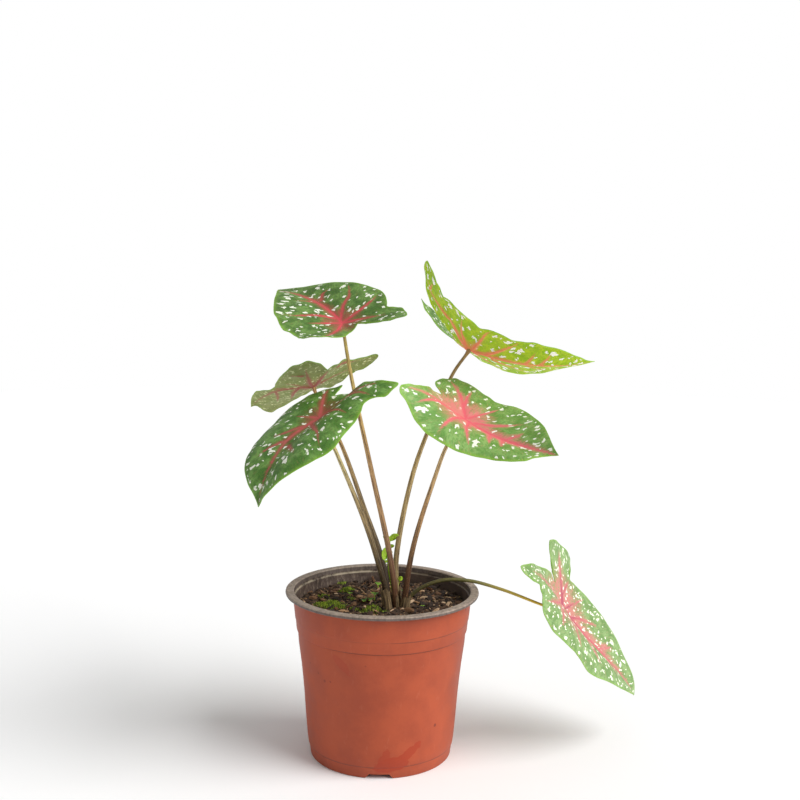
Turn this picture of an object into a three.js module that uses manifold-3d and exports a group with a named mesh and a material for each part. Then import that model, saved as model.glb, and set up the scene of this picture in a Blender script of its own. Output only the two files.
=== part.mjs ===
// A potted caladium: six heart-shaped leaf blades on slender petioles, a tuber in potting mix, a seedling
// that came up beside it, and a round nursery pot. Millimetres, +Z up, origin at the centre of its base.
import * as THREE from "three";
import Module from "manifold-3d";
import { mergeVertices } from "three/addons/utils/BufferGeometryUtils.js";

const wasm = await Module();
wasm.setup();

// ---------------------------------------------------------------- driving dimensions
const clearance = 0.3; // air between neighbouring pieces
const turns = 48; // facets round the pot

const pot = {
  height: 130,
  rimRadius: 75,
  rimThickness: 2.8,
  mouthRadius: 68.5,
  baseRadius: 55,
  wall: 1.5,
  // outside of the wall from under the rim to the base: radius, height
  outside: [
    [68.8, 126.6],
    [68.5, 118],
    [67.5, 109],
    [67.1, 108],
    [66.4, 100.5],
    [65.2, 98.8],
    [64.7, 90],
    [62.4, 72.5],
    [60.1, 49],
    [57.5, 15.5],
    [56.6, 9],
    [56, 8],
  ],
  discRadius: 40, // flat middle of the base, which the pot stands on
  channelDepth: 4, // drain channel between the middle and the foot ring
  channelInner: 42,
  channelOuter: 52,
  footInner: 53,
  floor: 1.6,
};
const drains = { count: 3, notchWidth: 21, notchTop: 15, notchHeight: 3.4, holeRadius: 4, holeCircle: 47 };

const soil = { top: 117, relief: 1.3, ringStep: 11, turns: 36 };
const tuber = { centre: [11.5, -2, 84], radius: 17, flatness: 0.66 };

const blade = { thickness: 0.8, foldRounding: 2.5, approach: 5 };
const ripple = { height: 0.6, waves: 7 }; // the margin's gentle waves, which die away towards the navel
const rings = [0.2, 0.42, 0.64, 0.84, 1];
const stepsPerSpan = 2; // outline steps between two named points of an edge

// Each leaf: color is that of the face it shows, and the navel is where the petiole meets the blade. heading
// turns the midrib about +Z from +X, pitch lowers the tip, roll turns the blade about its midrib, all in
// degrees. front is the length from navel to tip. droop and tipDroop bend the midrib down, sweep carries the
// tip sideways, and twist turns the blade along the midrib. Each half has its width and lobe length, the
// degrees by which fold raises it, curl lowers its margin and lobeBend bends its back lobe. Its edge gives
// points of the flat blade, as ahead and to the left of the navel: on the left half from the tip round to the
// sinus between the lobes, and on the right half from there back to the tip. The petiole's points run from
// the tuber to just below the navel; trailing marks the thin one that leans out over the rim.
const leaves = [
  {
    name: "upper_left",
    color: 0x3f7536,
    navel: [-33, 2, 336],
    heading: 118,
    pitch: -25,
    roll: -21,
    front: 96,
    sweep: 21,
    twist: 2,
    droop: 9,
    tipDroop: 12,
    left: {
      width: 47,
      lobe: 48,
      fold: 19,
      curl: 4,
      lobeBend: -35,
      edge: [
        [96, -1], [88, 5], [77, 13], [66, 20.5], [54, 29], [44, 35], [34, 40.5], [24, 45], [14, 47],
        [5, 48.5], [-2, 48], [-9, 44.5], [-18, 42.5], [-28, 43], [-38, 42.5], [-45, 39], [-48, 33],
        [-45, 26], [-38, 17], [-28, 8], [-19, 1], [-15, -6], [-12, -9],
      ],
    },
    right: {
      width: 41,
      lobe: 33,
      fold: 18,
      curl: 22,
      lobeBend: -22,
      edge: [
        [-12, -9], [-16, -12.3], [-22, -17], [-28, -22], [-33, -27], [-38, -32], [-42, -37],
        [-37, -40.5], [-30, -42.5], [-22, -44], [-16, -43.5], [-12, -39.5], [-9, -35.5], [-2, -38],
        [6, -40.5], [15, -42], [23, -41], [31, -37.5], [39, -34], [47, -29], [56, -22.5], [66, -15],
        [75, -9], [84, -5], [96, -1],
      ],
    },
    petiole: [
      [11, -5, 84],
      [11, -5, 117],
      [6, -4.5, 155],
      [-10, -2, 226],
      [-27, 1, 302],
    ],
  },
  {
    name: "left_back",
    color: 0x84934f,
    navel: [-57, 35, 283.5],
    heading: 134,
    pitch: 25,
    roll: -3,
    front: 87,
    sweep: -2,
    twist: 22,
    droop: -36,
    tipDroop: 31,
    left: {
      width: 28,
      lobe: 43,
      fold: 10,
      curl: -9,
      lobeBend: -12,
      edge: [
        [86, 1], [76, 8], [68, 13], [60, 17], [52, 21], [44, 23.5], [36, 24], [28, 22.5], [21, 23.5],
        [15, 27], [6, 32], [-6, 37], [-15, 41], [-24, 43.5], [-33, 44.5], [-41, 42.5], [-45, 37],
        [-45, 29], [-42, 22], [-37, 15], [-35, 11.5],
      ],
    },
    right: {
      width: 23,
      lobe: 34,
      fold: 10,
      curl: 14,
      lobeBend: -20,
      edge: [
        [-35, 11.5], [-39, 7], [-41, 3], [-38, -4], [-35, -12], [-33, -20], [-33, -30], [-34, -38],
        [-31, -43], [-25, -44], [-21, -40], [-18, -35], [-15, -30.5], [-10, -29.5], [-3, -30], [5, -30],
        [11, -28], [14, -22], [16, -14], [22, -11.5], [32, -13.5], [43, -16.5], [57, -19.5], [72, -21.5],
        [82, -22], [88, -21], [87, -13], [82, -5], [78, 0], [86, 1],
      ],
    },
    petiole: [
      [5, 1, 84],
      [5, 1.5, 117],
      [-1, 7, 152],
      [-15, 14, 190],
      [-34, 24, 239],
    ],
  },
  {
    name: "left_front",
    color: 0x3c7a35,
    navel: [-46, -47, 270],
    heading: 223,
    pitch: 32,
    roll: 5,
    front: 83,
    sweep: 4,
    twist: 4,
    droop: -19,
    tipDroop: 66,
    left: {
      width: 45,
      lobe: 46,
      fold: 27,
      curl: 62,
      lobeBend: -2,
      edge: [
        [82, 0], [79, 7], [75, 13], [69, 21], [61, 29], [53, 35.5], [45, 41], [38, 44.5], [30, 46],
        [22, 45], [13, 43], [5, 41.5], [-3, 40], [-10, 37.5], [-16, 35], [-22, 35], [-26, 37],
        [-29.5, 40], [-34, 42], [-41, 41.5], [-47, 41], [-44, 33], [-41, 24], [-40, 15], [-40, 6],
        [-36, -3], [-31, -9.5], [-26, -11.5],
      ],
    },
    right: {
      width: 40,
      lobe: 40,
      fold: 24,
      curl: 41,
      lobeBend: 22,
      edge: [
        [-26, -11.5], [-34, -16.5], [-41, -21], [-38, -25], [-36, -30], [-34, -37], [-30, -42.5],
        [-22, -44.5], [-12, -46], [-2, -48], [9, -48], [20, -46], [30, -43], [40, -39], [48, -34],
        [56, -29], [63, -23], [69, -16], [74, -9], [78, -4], [82, 0],
      ],
    },
    petiole: [
      [5.5, -6.5, 84],
      [5.5, -7, 117],
      [-4, -14, 157],
      [-15, -23, 192],
      [-34, -38, 242],
    ],
  },
  {
    name: "right_front",
    color: 0x4a8440,
    navel: [59, -35, 269],
    heading: -38,
    pitch: 28,
    roll: -2,
    front: 86,
    sweep: -4,
    twist: 23,
    droop: -42,
    tipDroop: 14,
    left: {
      width: 41,
      lobe: 47,
      fold: 23,
      curl: 9,
      lobeBend: -4,
      edge: [
        [84, 0.5], [79, 5], [74, 10], [65, 19], [56, 27], [47, 32], [36, 37], [24, 40.5], [12, 40],
        [2, 38.5], [-6, 39], [-15, 41], [-25, 42], [-34, 41.5], [-41, 39], [-45, 33], [-46.5, 24],
        [-45, 16], [-38, 10], [-30, 6],
      ],
    },
    right: {
      width: 42,
      lobe: 39,
      fold: 19,
      curl: 53,
      lobeBend: -16,
      edge: [
        [-30, 6], [-33, 1], [-35, -6], [-35.5, -16], [-36, -26], [-38, -34], [-38.5, -40], [-34, -43.5],
        [-26, -42.5], [-17, -44], [-8, -45], [0, -45], [9, -43.5], [18, -41.5], [27, -39], [36, -35.5],
        [46, -31], [55, -28], [63, -24.5], [69, -19.5], [72, -13], [74.5, -6], [78, -1.5], [84, 0.5],
      ],
    },
    petiole: [
      [17, -5.5, 84],
      [17, -6, 117],
      [23, -13, 165],
      [38, -23.5, 221],
      [47, -29, 248],
    ],
  },
  {
    name: "right_top",
    color: 0x8fae3a,
    navel: [66, 32, 315],
    heading: -26,
    pitch: 23,
    roll: -31,
    front: 100,
    sweep: -3,
    twist: 6,
    droop: -50,
    tipDroop: 9,
    left: {
      width: 46,
      lobe: 46,
      fold: 11,
      curl: 1,
      lobeBend: -33,
      edge: [
        [98, 0], [90, 5], [80, 11], [70, 18], [60, 26], [50, 34], [40, 40], [30, 43], [18, 43], [8, 41],
        [-2, 37], [-14, 34], [-28, 35], [-42, 38], [-55, 41], [-67, 42], [-79, 38], [-67, 30.5], [-54, 23],
        [-42, 15.5], [-28, 8], [-12, 1],
      ],
    },
    right: {
      width: 41,
      lobe: 67,
      fold: 12,
      curl: 3,
      lobeBend: -37,
      edge: [
        [-12, 1], [-13, -2.6], [-20, -5.4], [-30, -8.8], [-40, -12.4], [-48, -15.8], [-55, -20],
        [-61, -28], [-65, -40], [-63, -52], [-52, -56], [-42, -56.5], [-36, -52], [-30, -49], [-22, -50],
        [-12, -49.5], [-5, -46], [3, -41.5], [10, -38], [17, -39], [26, -40.5], [34, -38.5], [41, -36],
        [48, -34.5], [55, -34.5], [62, -31.5], [70, -27], [77, -23], [83, -17], [88, -11.5], [92, -6],
        [98, 0],
      ],
    },
    petiole: [
      [11, 3, 84],
      [11, 3, 117],
      [10.5, 6, 153],
      [22, 13.5, 216],
      [33, 19, 249],
      [53, 28, 296],
    ],
  },
  {
    name: "low_right",
    color: 0x7fa36c,
    navel: [142, 10, 114],
    heading: 22,
    pitch: 57,
    roll: 40,
    front: 105,
    sweep: 6,
    twist: 1,
    droop: -50,
    tipDroop: 55,
    left: {
      width: 39,
      lobe: 39,
      fold: 9,
      curl: 6,
      lobeBend: -14,
      edge: [
        [104, 0], [101, 7], [95, 12.5], [85, 17.5], [75, 23.5], [64, 30.5], [53, 36], [41, 39.5],
        [28, 39.5], [15, 37.5], [5, 35], [-1, 33], [-3.5, 38], [-5, 48], [-6.5, 56], [-10, 58],
        [-17, 55], [-28, 48], [-38, 39], [-44, 31], [-45, 26], [-40, 21], [-32, 16.5], [-24, 12],
        [-19, 9],
      ],
    },
    right: {
      width: 46,
      lobe: 65,
      fold: 38,
      curl: 57,
      lobeBend: 5,
      edge: [
        [-19, 9], [-25, 9.5], [-31, 7], [-38, 2], [-45, -6], [-51, -14], [-57, -22], [-62, -30],
        [-67, -37], [-68, -41], [-63, -42.5], [-57, -41], [-51, -38], [-45, -35.5], [-41, -37],
        [-38, -40], [-36, -43.5], [-31, -48.5], [-24, -51], [-15, -51], [-4, -48.5], [7, -45.5],
        [15, -43.5], [21, -43], [28, -45], [35, -46], [43, -44], [52, -40], [62, -36], [71, -32],
        [80, -26], [88, -20], [95, -12.5], [101, -5], [104, 0],
      ],
    },
    trailing: true,
    petiole: [
      [17.5, 1, 84],
      [18, 1, 117],
      [26, 2, 127.5],
      [45, 3, 136],
      [67, 4.5, 136],
      [94, 6.5, 128.5],
      [127, 9, 115.5],
    ],
  },
];
const petioleRadius = { base: 2.5, middle: 1.9, top: 1.2 };
const trailingRadius = { base: 1.7, middle: 1.4, top: 1 }; // of the leaf that leans out over the rim
const petioleFacets = { sides: 8, steps: 22 };

const seedling = {
  stem: [
    [8, 7, 108],
    [7, 7.5, 124],
    [4, 8, 146],
    [4.5, 8, 160],
    [5.5, 8, 172],
  ],
  stemRadius: 0.55,
  // leaflet: place on the stem's height, turn about +Z, upward tilt, length and width
  leaflets: [
    { z: 151, turn: 265, tilt: 50, length: 5.5, width: 3.5 },
    { z: 158, turn: 200, tilt: 62, length: 6, width: 4 },
    { z: 163, turn: 50, tilt: 40, length: 5.5, width: 3.5 },
    { z: 169, turn: 235, tilt: 50, length: 6.5, width: 4 },
    { z: 170.5, turn: 70, tilt: 60, length: 6.5, width: 4 },
  ],
  leafletThickness: 0.8,
  steps: 14,
};

// ---------------------------------------------------------------- materials
const finish = (color, roughness) => new THREE.MeshStandardMaterial({ color, roughness, metalness: 0 });
const terracottaPlastic = finish(0xb0563b, 0.55);
const pottingMix = finish(0x3a2c22, 0.95);
const tuberSkin = finish(0x6b4a32, 0.9);
const petioleSkin = finish(0x9a7a52, 0.6);
const trailingPetioleSkin = finish(0x74743f, 0.6);
const leafSkin = (color) => finish(color, 0.5);
const seedlingGreen = finish(0x7fc832, 0.5);

// ---------------------------------------------------------------- solids
function solidOf(geometry) {
  const bare = geometry.clone();
  bare.deleteAttribute("normal");
  bare.deleteAttribute("uv");
  const merged = mergeVertices(bare, 1e-4);
  return new wasm.Manifold(
    new wasm.Mesh({
      numProp: 3,
      vertProperties: new Float32Array(merged.attributes.position.array),
      triVerts: new Uint32Array(merged.index.array),
    }),
  );
}

function geometryOf(solid) {
  const mesh = solid.getMesh();
  const geometry = new THREE.BufferGeometry();
  geometry.setAttribute("position", new THREE.BufferAttribute(mesh.vertProperties, 3));
  geometry.setIndex(new THREE.BufferAttribute(mesh.triVerts, 1));
  geometry.computeVertexNormals();
  return geometry;
}

function meshFrom(points, triangles) {
  const geometry = new THREE.BufferGeometry();
  geometry.setAttribute("position", new THREE.Float32BufferAttribute(points.flatMap((p) => p.toArray()), 3));
  geometry.setIndex(triangles);
  geometry.computeVertexNormals();
  return geometry;
}

// A profile of [radius, height] pairs, spun about +Z.
function spun(profile, segments) {
  const points = profile.map(([r, z]) => new THREE.Vector2(r, z));
  return new THREE.LatheGeometry(points, segments).rotateX(Math.PI / 2);
}

// A tube along a curve whose radius follows a function of the share of its length.
function taperedTube(curve, radiusAt, steps, sides) {
  const frames = curve.computeFrenetFrames(steps, false);
  const points = [];
  for (let i = 0; i <= steps; i++) {
    const centre = curve.getPointAt(i / steps);
    for (let j = 0; j < sides; j++) {
      const angle = (2 * Math.PI * j) / sides;
      const across = frames.normals[i].clone().multiplyScalar(Math.cos(angle));
      across.addScaledVector(frames.binormals[i], Math.sin(angle));
      points.push(centre.clone().addScaledVector(across, radiusAt(i / steps)));
    }
  }
  const first = points.push(curve.getPointAt(0)) - 1;
  const last = points.push(curve.getPointAt(1)) - 1;
  const triangles = [];
  for (let j = 0; j < sides; j++) {
    const k = (j + 1) % sides;
    for (let i = 0; i < steps; i++) {
      const [a, b, c, d] = [i * sides + j, i * sides + k, (i + 1) * sides + k, (i + 1) * sides + j];
      triangles.push(a, b, c, a, c, d);
    }
    triangles.push(first, k, j);
    triangles.push(last, steps * sides + j, steps * sides + k);
  }
  return meshFrom(points, triangles);
}

// ---------------------------------------------------------------- leaf blades
const degrees = THREE.MathUtils.degToRad;

// One half's edge on the flat blade, as a smooth line through its named points.
function halfOutline(side) {
  const curve = new THREE.SplineCurve(side.edge.map(([u, v]) => new THREE.Vector2(u, v)));
  return curve.getPoints((side.edge.length - 1) * stepsPerSpan);
}

// The whole outline, once round from the tip over the left side to the sinus and back on the right.
function flatOutline(leaf) {
  return [...halfOutline(leaf.left), ...halfOutline(leaf.right).slice(1, -1)];
}

// Where a point (u ahead, v to the left) of the flat blade lies once the blade is bent, about its navel.
function bentPoint(leaf, u, v) {
  const half = v > 0 ? leaf.left : leaf.right;
  const reach = THREE.MathUtils.clamp(v / (0.175 * (leaf.left.width + leaf.right.width)), -1, 1);
  const leftShare = 0.5 + 0.5 * reach * (1.5 - 0.5 * reach * reach);
  const lobeBend = leaf.left.lobeBend * leftShare + leaf.right.lobeBend * (1 - leftShare);
  const ahead = Math.max(u, 0) / leaf.front;
  const behind = (2 * Math.min(u, 0)) / (leaf.left.lobe + leaf.right.lobe);
  const slope = degrees(leaf.droop * ahead + leaf.tipDroop * ahead ** 2 + lobeBend * behind);
  const aheadChord = (leaf.droop * ahead) / 2 + (leaf.tipDroop * ahead ** 2) / 3;
  const chord = degrees(aheadChord + (lobeBend * behind) / 2);
  const rise = degrees(half.fold - (half.curl * Math.abs(v)) / half.width / 2);
  const across = v * Math.cos(rise);
  const up = (Math.hypot(v, blade.foldRounding) - blade.foldRounding) * Math.sin(rise);
  const twist = degrees((leaf.twist * u) / leaf.front);
  const side = across * Math.cos(twist) - up * Math.sin(twist) + leaf.sweep * ahead ** 2;
  const lift = across * Math.sin(twist) + up * Math.cos(twist);
  return new THREE.Vector3(
    u * Math.cos(chord) + lift * Math.sin(slope),
    side,
    -u * Math.sin(chord) + lift * Math.cos(slope),
  );
}

function bladeNormal(leaf, u, v) {
  const step = 0.5;
  const alongU = bentPoint(leaf, u + step, v).sub(bentPoint(leaf, u - step, v));
  const alongV = bentPoint(leaf, u, v + step).sub(bentPoint(leaf, u, v - step));
  return alongU.cross(alongV).normalize();
}

// The flat blade as spokes and rings about the navel: x ahead, y to the left, and z the ripple.
function flatBlade(outline) {
  const flat = [new THREE.Vector3(0, 0, 0)];
  for (const share of rings) {
    outline.forEach((p, j) => {
      const wave = Math.sin((2 * Math.PI * ripple.waves * j) / outline.length);
      flat.push(new THREE.Vector3(share * p.x, share * p.y, ripple.height * share ** 4 * wave));
    });
  }
  return flat;
}

// Upper and lower faces on the same spokes and rings, joined round the margin.
function bladeGeometry(leaf) {
  const outline = flatOutline(leaf);
  const spokes = outline.length;
  const flat = flatBlade(outline);
  const face = (offset) =>
    flat.map(({ x, y, z }) => bentPoint(leaf, x, y).addScaledVector(bladeNormal(leaf, x, y), z + offset));
  const points = [...face(blade.thickness / 2), ...face(-blade.thickness / 2)];
  const under = flat.length;
  const triangles = [];
  const both = (a, b, c) => triangles.push(a, b, c, under + a, under + c, under + b);
  for (let j = 0; j < spokes; j++) {
    const k = (j + 1) % spokes;
    both(0, 1 + j, 1 + k);
    for (let i = 1; i < rings.length; i++) {
      const inner = 1 + (i - 1) * spokes;
      const outer = inner + spokes;
      both(inner + j, outer + j, outer + k);
      both(inner + j, outer + k, inner + k);
    }
    const rim = 1 + (rings.length - 1) * spokes;
    triangles.push(rim + k, rim + j, under + rim + j, rim + k, under + rim + j, under + rim + k);
  }
  return meshFrom(points, triangles);
}

function leafMesh(leaf) {
  const mesh = new THREE.Mesh(bladeGeometry(leaf), leafSkin(leaf.color));
  mesh.name = "leaf_" + leaf.name;
  mesh.position.set(...leaf.navel);
  mesh.rotation.set(degrees(leaf.roll), degrees(leaf.pitch), degrees(leaf.heading), "ZYX");
  mesh.updateMatrix();
  return mesh;
}

// ---------------------------------------------------------------- petioles and tuber
// A petiole rises out of the tuber and turns in to meet the blade square at its navel.
function petioleCurve(leaf, mesh) {
  const normal = bladeNormal(leaf, 0, 0).transformDirection(mesh.matrix);
  const below = (distance) => mesh.position.clone().addScaledVector(normal, -distance);
  const points = leaf.petiole.map((p) => new THREE.Vector3(...p));
  points.push(below(blade.approach), below(blade.thickness / 2 + clearance));
  return new THREE.CatmullRomCurve3(points, false, "centripetal");
}

// extra widens it, for the hole that it stands in.
function petioleSolid(curve, radius, extra) {
  const radiusAt = (share) => {
    const lower = THREE.MathUtils.lerp(radius.base, radius.middle, Math.min(2 * share, 1));
    return THREE.MathUtils.lerp(lower, radius.top, Math.max(2 * share - 1, 0)) + extra;
  };
  return solidOf(taperedTube(curve, radiusAt, petioleFacets.steps, petioleFacets.sides));
}

function tuberGeometry(extra) {
  const radius = tuber.radius + extra;
  const height = tuber.radius * tuber.flatness + extra;
  const round = new THREE.SphereGeometry(radius, 20, 12).rotateX(Math.PI / 2);
  return round.scale(1, 1, height / radius).translate(...tuber.centre);
}

// ---------------------------------------------------------------- pot
function potInside() {
  const wall = pot.outside.map(([r, z]) => [r - pot.wall, z]);
  const [, ...lower] = wall;
  return [
    [pot.mouthRadius, pot.height],
    [pot.mouthRadius - 0.3, pot.height - 4.6],
    [pot.outside[0][0] - pot.wall, pot.height - 5.4],
    ...lower,
    [pot.footInner + 0.4, pot.channelDepth + pot.floor],
    [pot.channelInner + 1, pot.channelDepth + pot.floor],
    [pot.discRadius + 1, pot.floor],
    [0, pot.floor],
  ];
}

function potProfile() {
  const edge = pot.rimThickness / 3;
  return [
    [0, 0],
    [pot.discRadius, 0],
    [pot.channelInner, pot.channelDepth],
    [pot.channelOuter, pot.channelDepth],
    [pot.footInner, 0],
    [pot.baseRadius, 0],
    ...pot.outside.toReversed(),
    [pot.rimRadius - edge, pot.height - pot.rimThickness],
    [pot.rimRadius, pot.height - pot.rimThickness + edge],
    [pot.rimRadius, pot.height - edge],
    [pot.rimRadius - edge, pot.height],
    ...potInside(),
  ];
}

// Low flat-topped notches through the foot ring, with a round hole up into the pot behind each.
function drainCut(angle) {
  const [foot, top, height] = [drains.notchWidth / 2, drains.notchTop / 2, drains.notchHeight];
  const outline = [[-foot, -1], [foot, -1], [foot, 0], [top, height], [-top, height], [-foot, 0]];
  const opening = new THREE.Shape(outline.map(([x, z]) => new THREE.Vector2(x, z)));
  const depth = pot.baseRadius - pot.channelOuter + 4;
  const notch = new THREE.ExtrudeGeometry(opening, { depth, bevelEnabled: false });
  notch.rotateX(Math.PI / 2).translate(0, pot.baseRadius + 2, 0);
  const hole = new THREE.CylinderGeometry(drains.holeRadius, drains.holeRadius, 3 * pot.channelDepth, 16);
  hole.rotateX(Math.PI / 2).translate(0, drains.holeCircle, pot.channelDepth);
  return [notch, hole].map((cut) => solidOf(cut.rotateZ(angle)));
}

function potSolid() {
  let body = solidOf(spun(potProfile(), turns));
  for (let i = 0; i < drains.count; i++) {
    for (const cut of drainCut(Math.PI + (2 * Math.PI * i) / drains.count)) body = body.subtract(cut);
  }
  return body;
}

// ---------------------------------------------------------------- potting mix
// The wall's inside radius at a height, between the named points of the pot's inside.
function insideRadius(z) {
  const inside = potInside();
  const i = inside.findIndex(([, height]) => height < z);
  const [r1, z1] = inside[i - 1];
  const [r2, z2] = inside[i];
  return r2 + ((r1 - r2) * (z - z2)) / (z1 - z2);
}

function soilSolid() {
  const wallPoints = potInside().filter(([, z]) => z < soil.top - 3);
  const fill = wallPoints.map(([r, z]) => [Math.max(r - clearance - 0.1, 0), z + clearance]);
  const edge = insideRadius(soil.top) - clearance - 0.1;
  const top = [];
  for (let r = 0; r < edge - 3; r += soil.ringStep) top.push([r, soil.top]);
  const geometry = spun([...fill.toReversed(), [edge, soil.top - 1], ...top.toReversed()], soil.turns);
  const places = geometry.attributes.position;
  for (let i = 0; i < places.count; i++) {
    const [x, y, z] = [places.getX(i), places.getY(i), places.getZ(i)];
    const bump = Math.sin(0.31 * x + 0.9) * Math.cos(0.27 * y) + 0.6 * Math.sin(0.13 * (x - 2 * y));
    if (z > soil.top - 0.5) places.setZ(i, z + soil.relief * bump);
  }
  return solidOf(geometry);
}

// ---------------------------------------------------------------- seedling
function seedlingSolid(curve) {
  const stemRadiusAt = (share) => seedling.stemRadius * (1.1 - 0.3 * share);
  let plant = solidOf(taperedTube(curve, stemRadiusAt, seedling.steps, 6));
  const [bottom, topZ] = [seedling.stem[0][2], seedling.stem.at(-1)[2]];
  for (const leaflet of seedling.leaflets) {
    const round = new THREE.SphereGeometry(1, 10, 6).rotateX(Math.PI / 2);
    round.scale(leaflet.length / 2, leaflet.width / 2, seedling.leafletThickness / 2);
    round.translate(leaflet.length / 2 - 0.6, 0, 0);
    round.rotateY(-degrees(leaflet.tilt)).rotateZ(degrees(leaflet.turn));
    const at = curve.getPointAt((leaflet.z - bottom) / (topZ - bottom));
    plant = plant.add(solidOf(round.translate(at.x, at.y, at.z)));
  }
  return plant;
}

// ---------------------------------------------------------------- assembly
function named(name, solid, material) {
  const mesh = new THREE.Mesh(geometryOf(solid), material);
  mesh.name = name;
  return mesh;
}

const seat = solidOf(tuberGeometry(clearance));
const foliage = new THREE.Group();
let mix = soilSolid().subtract(seat);
for (const leaf of leaves) {
  const mesh = leafMesh(leaf);
  const curve = petioleCurve(leaf, mesh);
  const radius = leaf.trailing ? trailingRadius : petioleRadius;
  const stalk = petioleSolid(curve, radius, 0).subtract(seat);
  mix = mix.subtract(petioleSolid(curve, radius, clearance));
  foliage.add(mesh, named("petiole_" + leaf.name, stalk, leaf.trailing ? trailingPetioleSkin : petioleSkin));
}

const sproutCurve = new THREE.CatmullRomCurve3(seedling.stem.map((p) => new THREE.Vector3(...p)));
const sproutHole = taperedTube(sproutCurve, () => seedling.stemRadius + clearance, seedling.steps, 8);
mix = mix.subtract(solidOf(sproutHole));

const caladium = new THREE.Group();
caladium.add(
  named("pot", potSolid(), terracottaPlastic),
  named("soil", mix, pottingMix),
  named("tuber", solidOf(tuberGeometry(0)), tuberSkin),
  named("seedling", seedlingSolid(sproutCurve), seedlingGreen),
  foliage,
);

export default caladium;
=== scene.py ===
# %% [markdown]
# # A potted caladium
# A caladium is a house plant that is grown for its leaves: thin hearts, each on a long bare stalk that
# rises straight out of a tuber in the soil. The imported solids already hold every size, so this lesson loads
# them as a fixed frame and dresses them: first the studio, then the pot, the soil with what lies and grows
# on it, the stalks, and last the six blades with their veins and flecks.
# %% Load the frame
import math
import bpy
import numpy as np
from mathutils import Euler, Matrix, Vector, noise


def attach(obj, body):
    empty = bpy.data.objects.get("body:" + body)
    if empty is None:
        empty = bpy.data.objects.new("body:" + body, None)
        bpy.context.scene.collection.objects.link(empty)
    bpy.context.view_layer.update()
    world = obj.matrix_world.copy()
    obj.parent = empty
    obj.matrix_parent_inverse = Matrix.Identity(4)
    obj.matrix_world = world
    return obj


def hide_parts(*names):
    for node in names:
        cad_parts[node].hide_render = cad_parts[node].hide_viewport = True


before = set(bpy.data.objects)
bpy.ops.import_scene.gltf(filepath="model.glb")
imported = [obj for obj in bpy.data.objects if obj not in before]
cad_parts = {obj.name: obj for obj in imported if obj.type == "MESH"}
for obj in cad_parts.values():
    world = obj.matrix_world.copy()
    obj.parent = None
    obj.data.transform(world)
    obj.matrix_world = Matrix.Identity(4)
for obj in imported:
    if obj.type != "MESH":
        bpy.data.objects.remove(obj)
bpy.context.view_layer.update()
MM = 0.001
print("solids in the frame:", len(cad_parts))

# %% [markdown]
# ## Studio
# The camera stands a little above the leaves' middle, 90 cm in front, and looks down about 7 degrees, which
# shows the soil through the pot's mouth. One large sun from the right gives the pot its soft dark-to-light
# turn, and an even white world fills the shadows. The floor is a plain white disc, so bright that its far
# edge is lost against the backdrop. It stands for no part of the plant.
# %% Camera
LOOK_DOWN = math.radians(7.22)
LEAN = math.radians(0.8)
CAMERA_PLACE = (0.0117, -0.9, 0.392)
LENS = 53.55

bpy.ops.object.select_all(action="DESELECT")
bpy.ops.object.camera_add()
camera = bpy.context.object
stand = Matrix.Translation(CAMERA_PLACE)
tilt = Matrix.Rotation(math.pi / 2 - LOOK_DOWN, 4, "X")
camera.matrix_world = stand @ tilt @ Matrix.Rotation(LEAN, 4, "Z")
camera.data.lens = LENS
camera.data.sensor_width = 36
camera.data.clip_start = 0.01
bpy.context.scene.camera = camera
print("camera lens:", camera.data.lens, "mm")

# %% Light and floor
WHITE = (1, 1, 1, 1)
FILL = 0.43
SUN = 3.2
SUN_SPREAD = math.radians(48)
SUN_FROM = (0.74, -0.30, 0.60)
FLOOR_RADIUS = 2.5

scene = bpy.context.scene
scene.view_settings.view_transform = "Standard"
scene.world = bpy.data.worlds.new("studio_air")
scene.world.use_nodes = True
air = scene.world.node_tree
air.nodes.clear()
seen = air.nodes.new("ShaderNodeLightPath")
either = air.nodes.new("ShaderNodeMixShader")
out = air.nodes.new("ShaderNodeOutputWorld")
air.links.new(seen.outputs["Is Camera Ray"], either.inputs[0])
for socket, strength in ((1, FILL), (2, 1.0)):
    light = air.nodes.new("ShaderNodeBackground")
    light.inputs["Color"].default_value = WHITE
    light.inputs["Strength"].default_value = strength
    air.links.new(light.outputs[0], either.inputs[socket])
air.links.new(either.outputs[0], out.inputs["Surface"])

bpy.ops.object.light_add(type="SUN")
key = bpy.context.object
key.name = "key_light"
key.data.energy = SUN
key.data.angle = SUN_SPREAD
key.rotation_euler = Vector(SUN_FROM).to_track_quat("Z", "Y").to_euler()

bpy.ops.object.select_all(action="DESELECT")
just_under = (0, 0, -0.0002)
bpy.ops.mesh.primitive_circle_add(vertices=96, radius=FLOOR_RADIUS, fill_type="NGON", location=just_under)
floor = bpy.context.object
floor.name = "floor"

paper = bpy.data.materials.new("studio_paper")
paper.use_nodes = True
paper_shader = paper.node_tree.nodes["Principled BSDF"]
paper_shader.inputs["Base Color"].default_value = WHITE
paper_shader.inputs["Roughness"].default_value = 0.9
floor.data.materials.append(paper)
print("sun energy:", key.data.energy)

# %% [markdown]
# ## Tools for finishes
# Every finish here is a small net of nodes that ends in one Principled shader. Wiring nodes by hand takes
# many clicks, so a helper class adds one node for each call and hands back its output, to be plugged into
# the next. Colours are written as the numbers of a colour picker and turned into the linear light values
# that the shader wants.
# %% Finish helper
def tint(red, green, blue):
    """A colour picker's 0-255 numbers as linear light."""
    values = [c / 255 for c in (red, green, blue)]
    return (*[c / 12.92 if c <= 0.04045 else ((c + 0.055) / 1.055) ** 2.4 for c in values], 1.0)


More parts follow.
